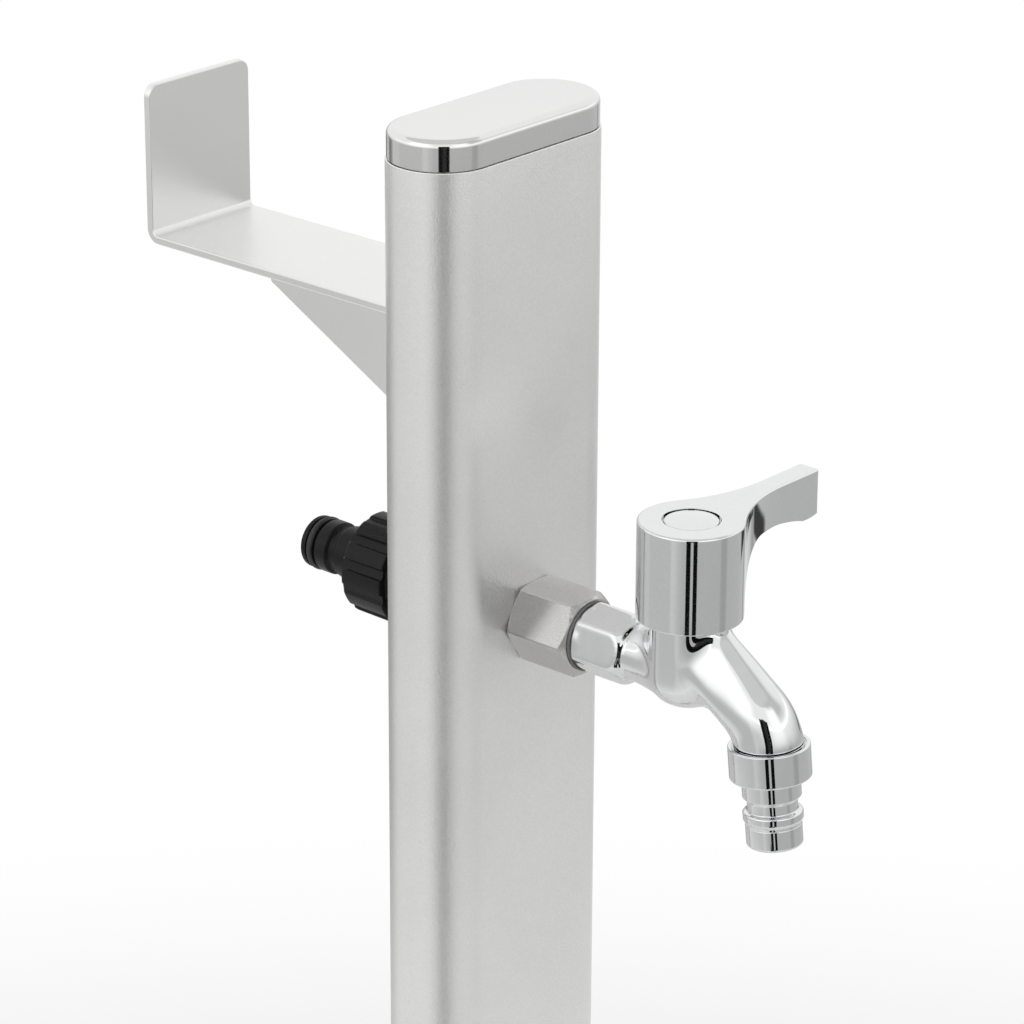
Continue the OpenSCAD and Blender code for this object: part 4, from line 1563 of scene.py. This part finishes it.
    def bearing_in(self, kit: Nodes) -> Socket:
        """Gives the bearing from the camera's side, where 0.5 is the camera and 1 a full turn.

        Args:
            kit: the nodes that ask.

        Returns:
            The bearing.
        """
        angle = -math.radians(self.azimuth - 90)
        turn = kit.add("VectorRotate", {"Vector": kit.where(), "Angle": angle},
                       rotation_type="Z_AXIS")
        sweep = kit.add("TexGradient", {"Vector": turn.outputs["Vector"]}, gradient_type="RADIAL")
        return sweep.outputs["Fac"]

    @staticmethod
    def height_in(kit: Nodes) -> Socket:
        """Gives the height over the floor in metres."""
        return kit.add("SeparateXYZ", {0: kit.where()}).outputs["Z"]

    def wall(self) -> None:
        """Stands the tent's wall, whose grey changes round the part and turns white at the top."""
        thing = self.sheet("tent_wall", (-180, 180), self.wall_distance, (0.0, self.wall_top))
        kit, glow, _ = self.glow(thing, 1.0)
        ramp = kit.add("ValToRGB", {"Fac": self.bearing_in(kit)})
        stops = ramp.color_ramp.elements
        while len(stops) < len(self.tones):
            stops.new(1.0)
        for stop, (bearing, shade) in zip(stops, self.tones):
            stop.position = bearing / 360 + 0.5
            stop.color = (shade, shade, shade, 1)
        height = self.height_in(kit)
        share = kit.math("MULTIPLY", kit.ease(height, *self.low_fade), self.low_glow)
        low = kit.mix(share, ramp.outputs["Color"], WHITE)
        top = kit.ease(height, self.wall_fade, self.wall_top)
        kit.feed(glow.inputs["Color"], kit.mix(top, low, WHITE))

    def roof(self) -> None:
        """Hangs the tent's grey roof."""
        form = Form.disc(self.ceiling_radius, 64)
        form.turn(Matrix.Translation((0, 0, self.ceiling)))
        self.glow(show("tent_roof", form.mesh("tent_roof")), self.ceiling_shade)

    def soft_box(self, box: SoftBox) -> None:
        """Stands a glowing sheet whose edges fade out.

        Args:
            box: the sheet's sizes and shade.
        """
        thing = self.sheet(box.name, (box.bearing - box.spread[1], box.bearing + box.spread[1]),
                           box.distance, (box.height - box.rise[1], box.height + box.rise[1]))
        kit, glow, output = self.glow(thing, box.shade)
        across = kit.window(self.bearing_in(kit), box.bearing / 360 + 0.5,
                            (box.spread[0] / 360, box.spread[1] / 360))
        along = kit.window(self.height_in(kit), box.height, box.rise)
        clear = kit.add("BsdfTransparent")
        kit.cover(kit.math("MULTIPLY", across, along), clear, glow, output)

    def lamp(self, plan: Lamp) -> None:
        """Stands a broad lamp that faces the column.

        Args:
            plan: the lamp's place and power.
        """
        angle = math.radians(self.azimuth - 90 + plan.bearing)
        spot = Vector((math.cos(angle) * self.lamp_distance, math.sin(angle) * self.lamp_distance,
                       self.lamp_height))
        lamp = bpy.data.lights.new(plan.name, "AREA")
        lamp.shape = "RECTANGLE"
        lamp.size, lamp.size_y = self.lamp_size
        lamp.energy = plan.power
        thing = show(plan.name, lamp)
        thing.visible_glossy = False
        aim = Vector((0, 0, self.lamp_aim)) - spot
        facing = aim.to_track_quat("-Z", "Y").to_matrix().to_4x4()
        thing.matrix_world = Matrix.Translation(spot) @ facing

    def build(self) -> None:
        """Builds the studio."""
        self.camera()
        self.world()
        self.floor()
        self.wall()
        self.roof()
        for box in self.boxes:
            self.soft_box(box)
        for plan in self.lamp_list:
            self.lamp(plan)
        bpy.context.scene.view_settings.view_transform = "Standard"


def dress_kept_nodes(shop: FinishShop) -> None:
    """Gives the CAD nodes that stay in view their materials.

    Args:
        shop: where the materials come from.
    """
    for finish, names in KEPT_NODES.items():
        for name in names:
            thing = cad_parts[name]
            thing.data.materials.clear()
            thing.data.materials.append(shop.material(finish))
            LOG.info("%s: kept", name)


def main() -> None:
    """Builds every sub-assembly, then the studio."""
    logging.basicConfig(level=logging.INFO, format="%(name)s %(message)s")
    shop = FinishShop()
    for part in (Column(), Holder(), Coupling(), TapBody(), Handle(), Outlet(), Inlet()):
        for piece in part.pieces():
            piece.build(shop)
    dress_kept_nodes(shop)
    Studio().build()


if __name__ == "__main__":
    main()
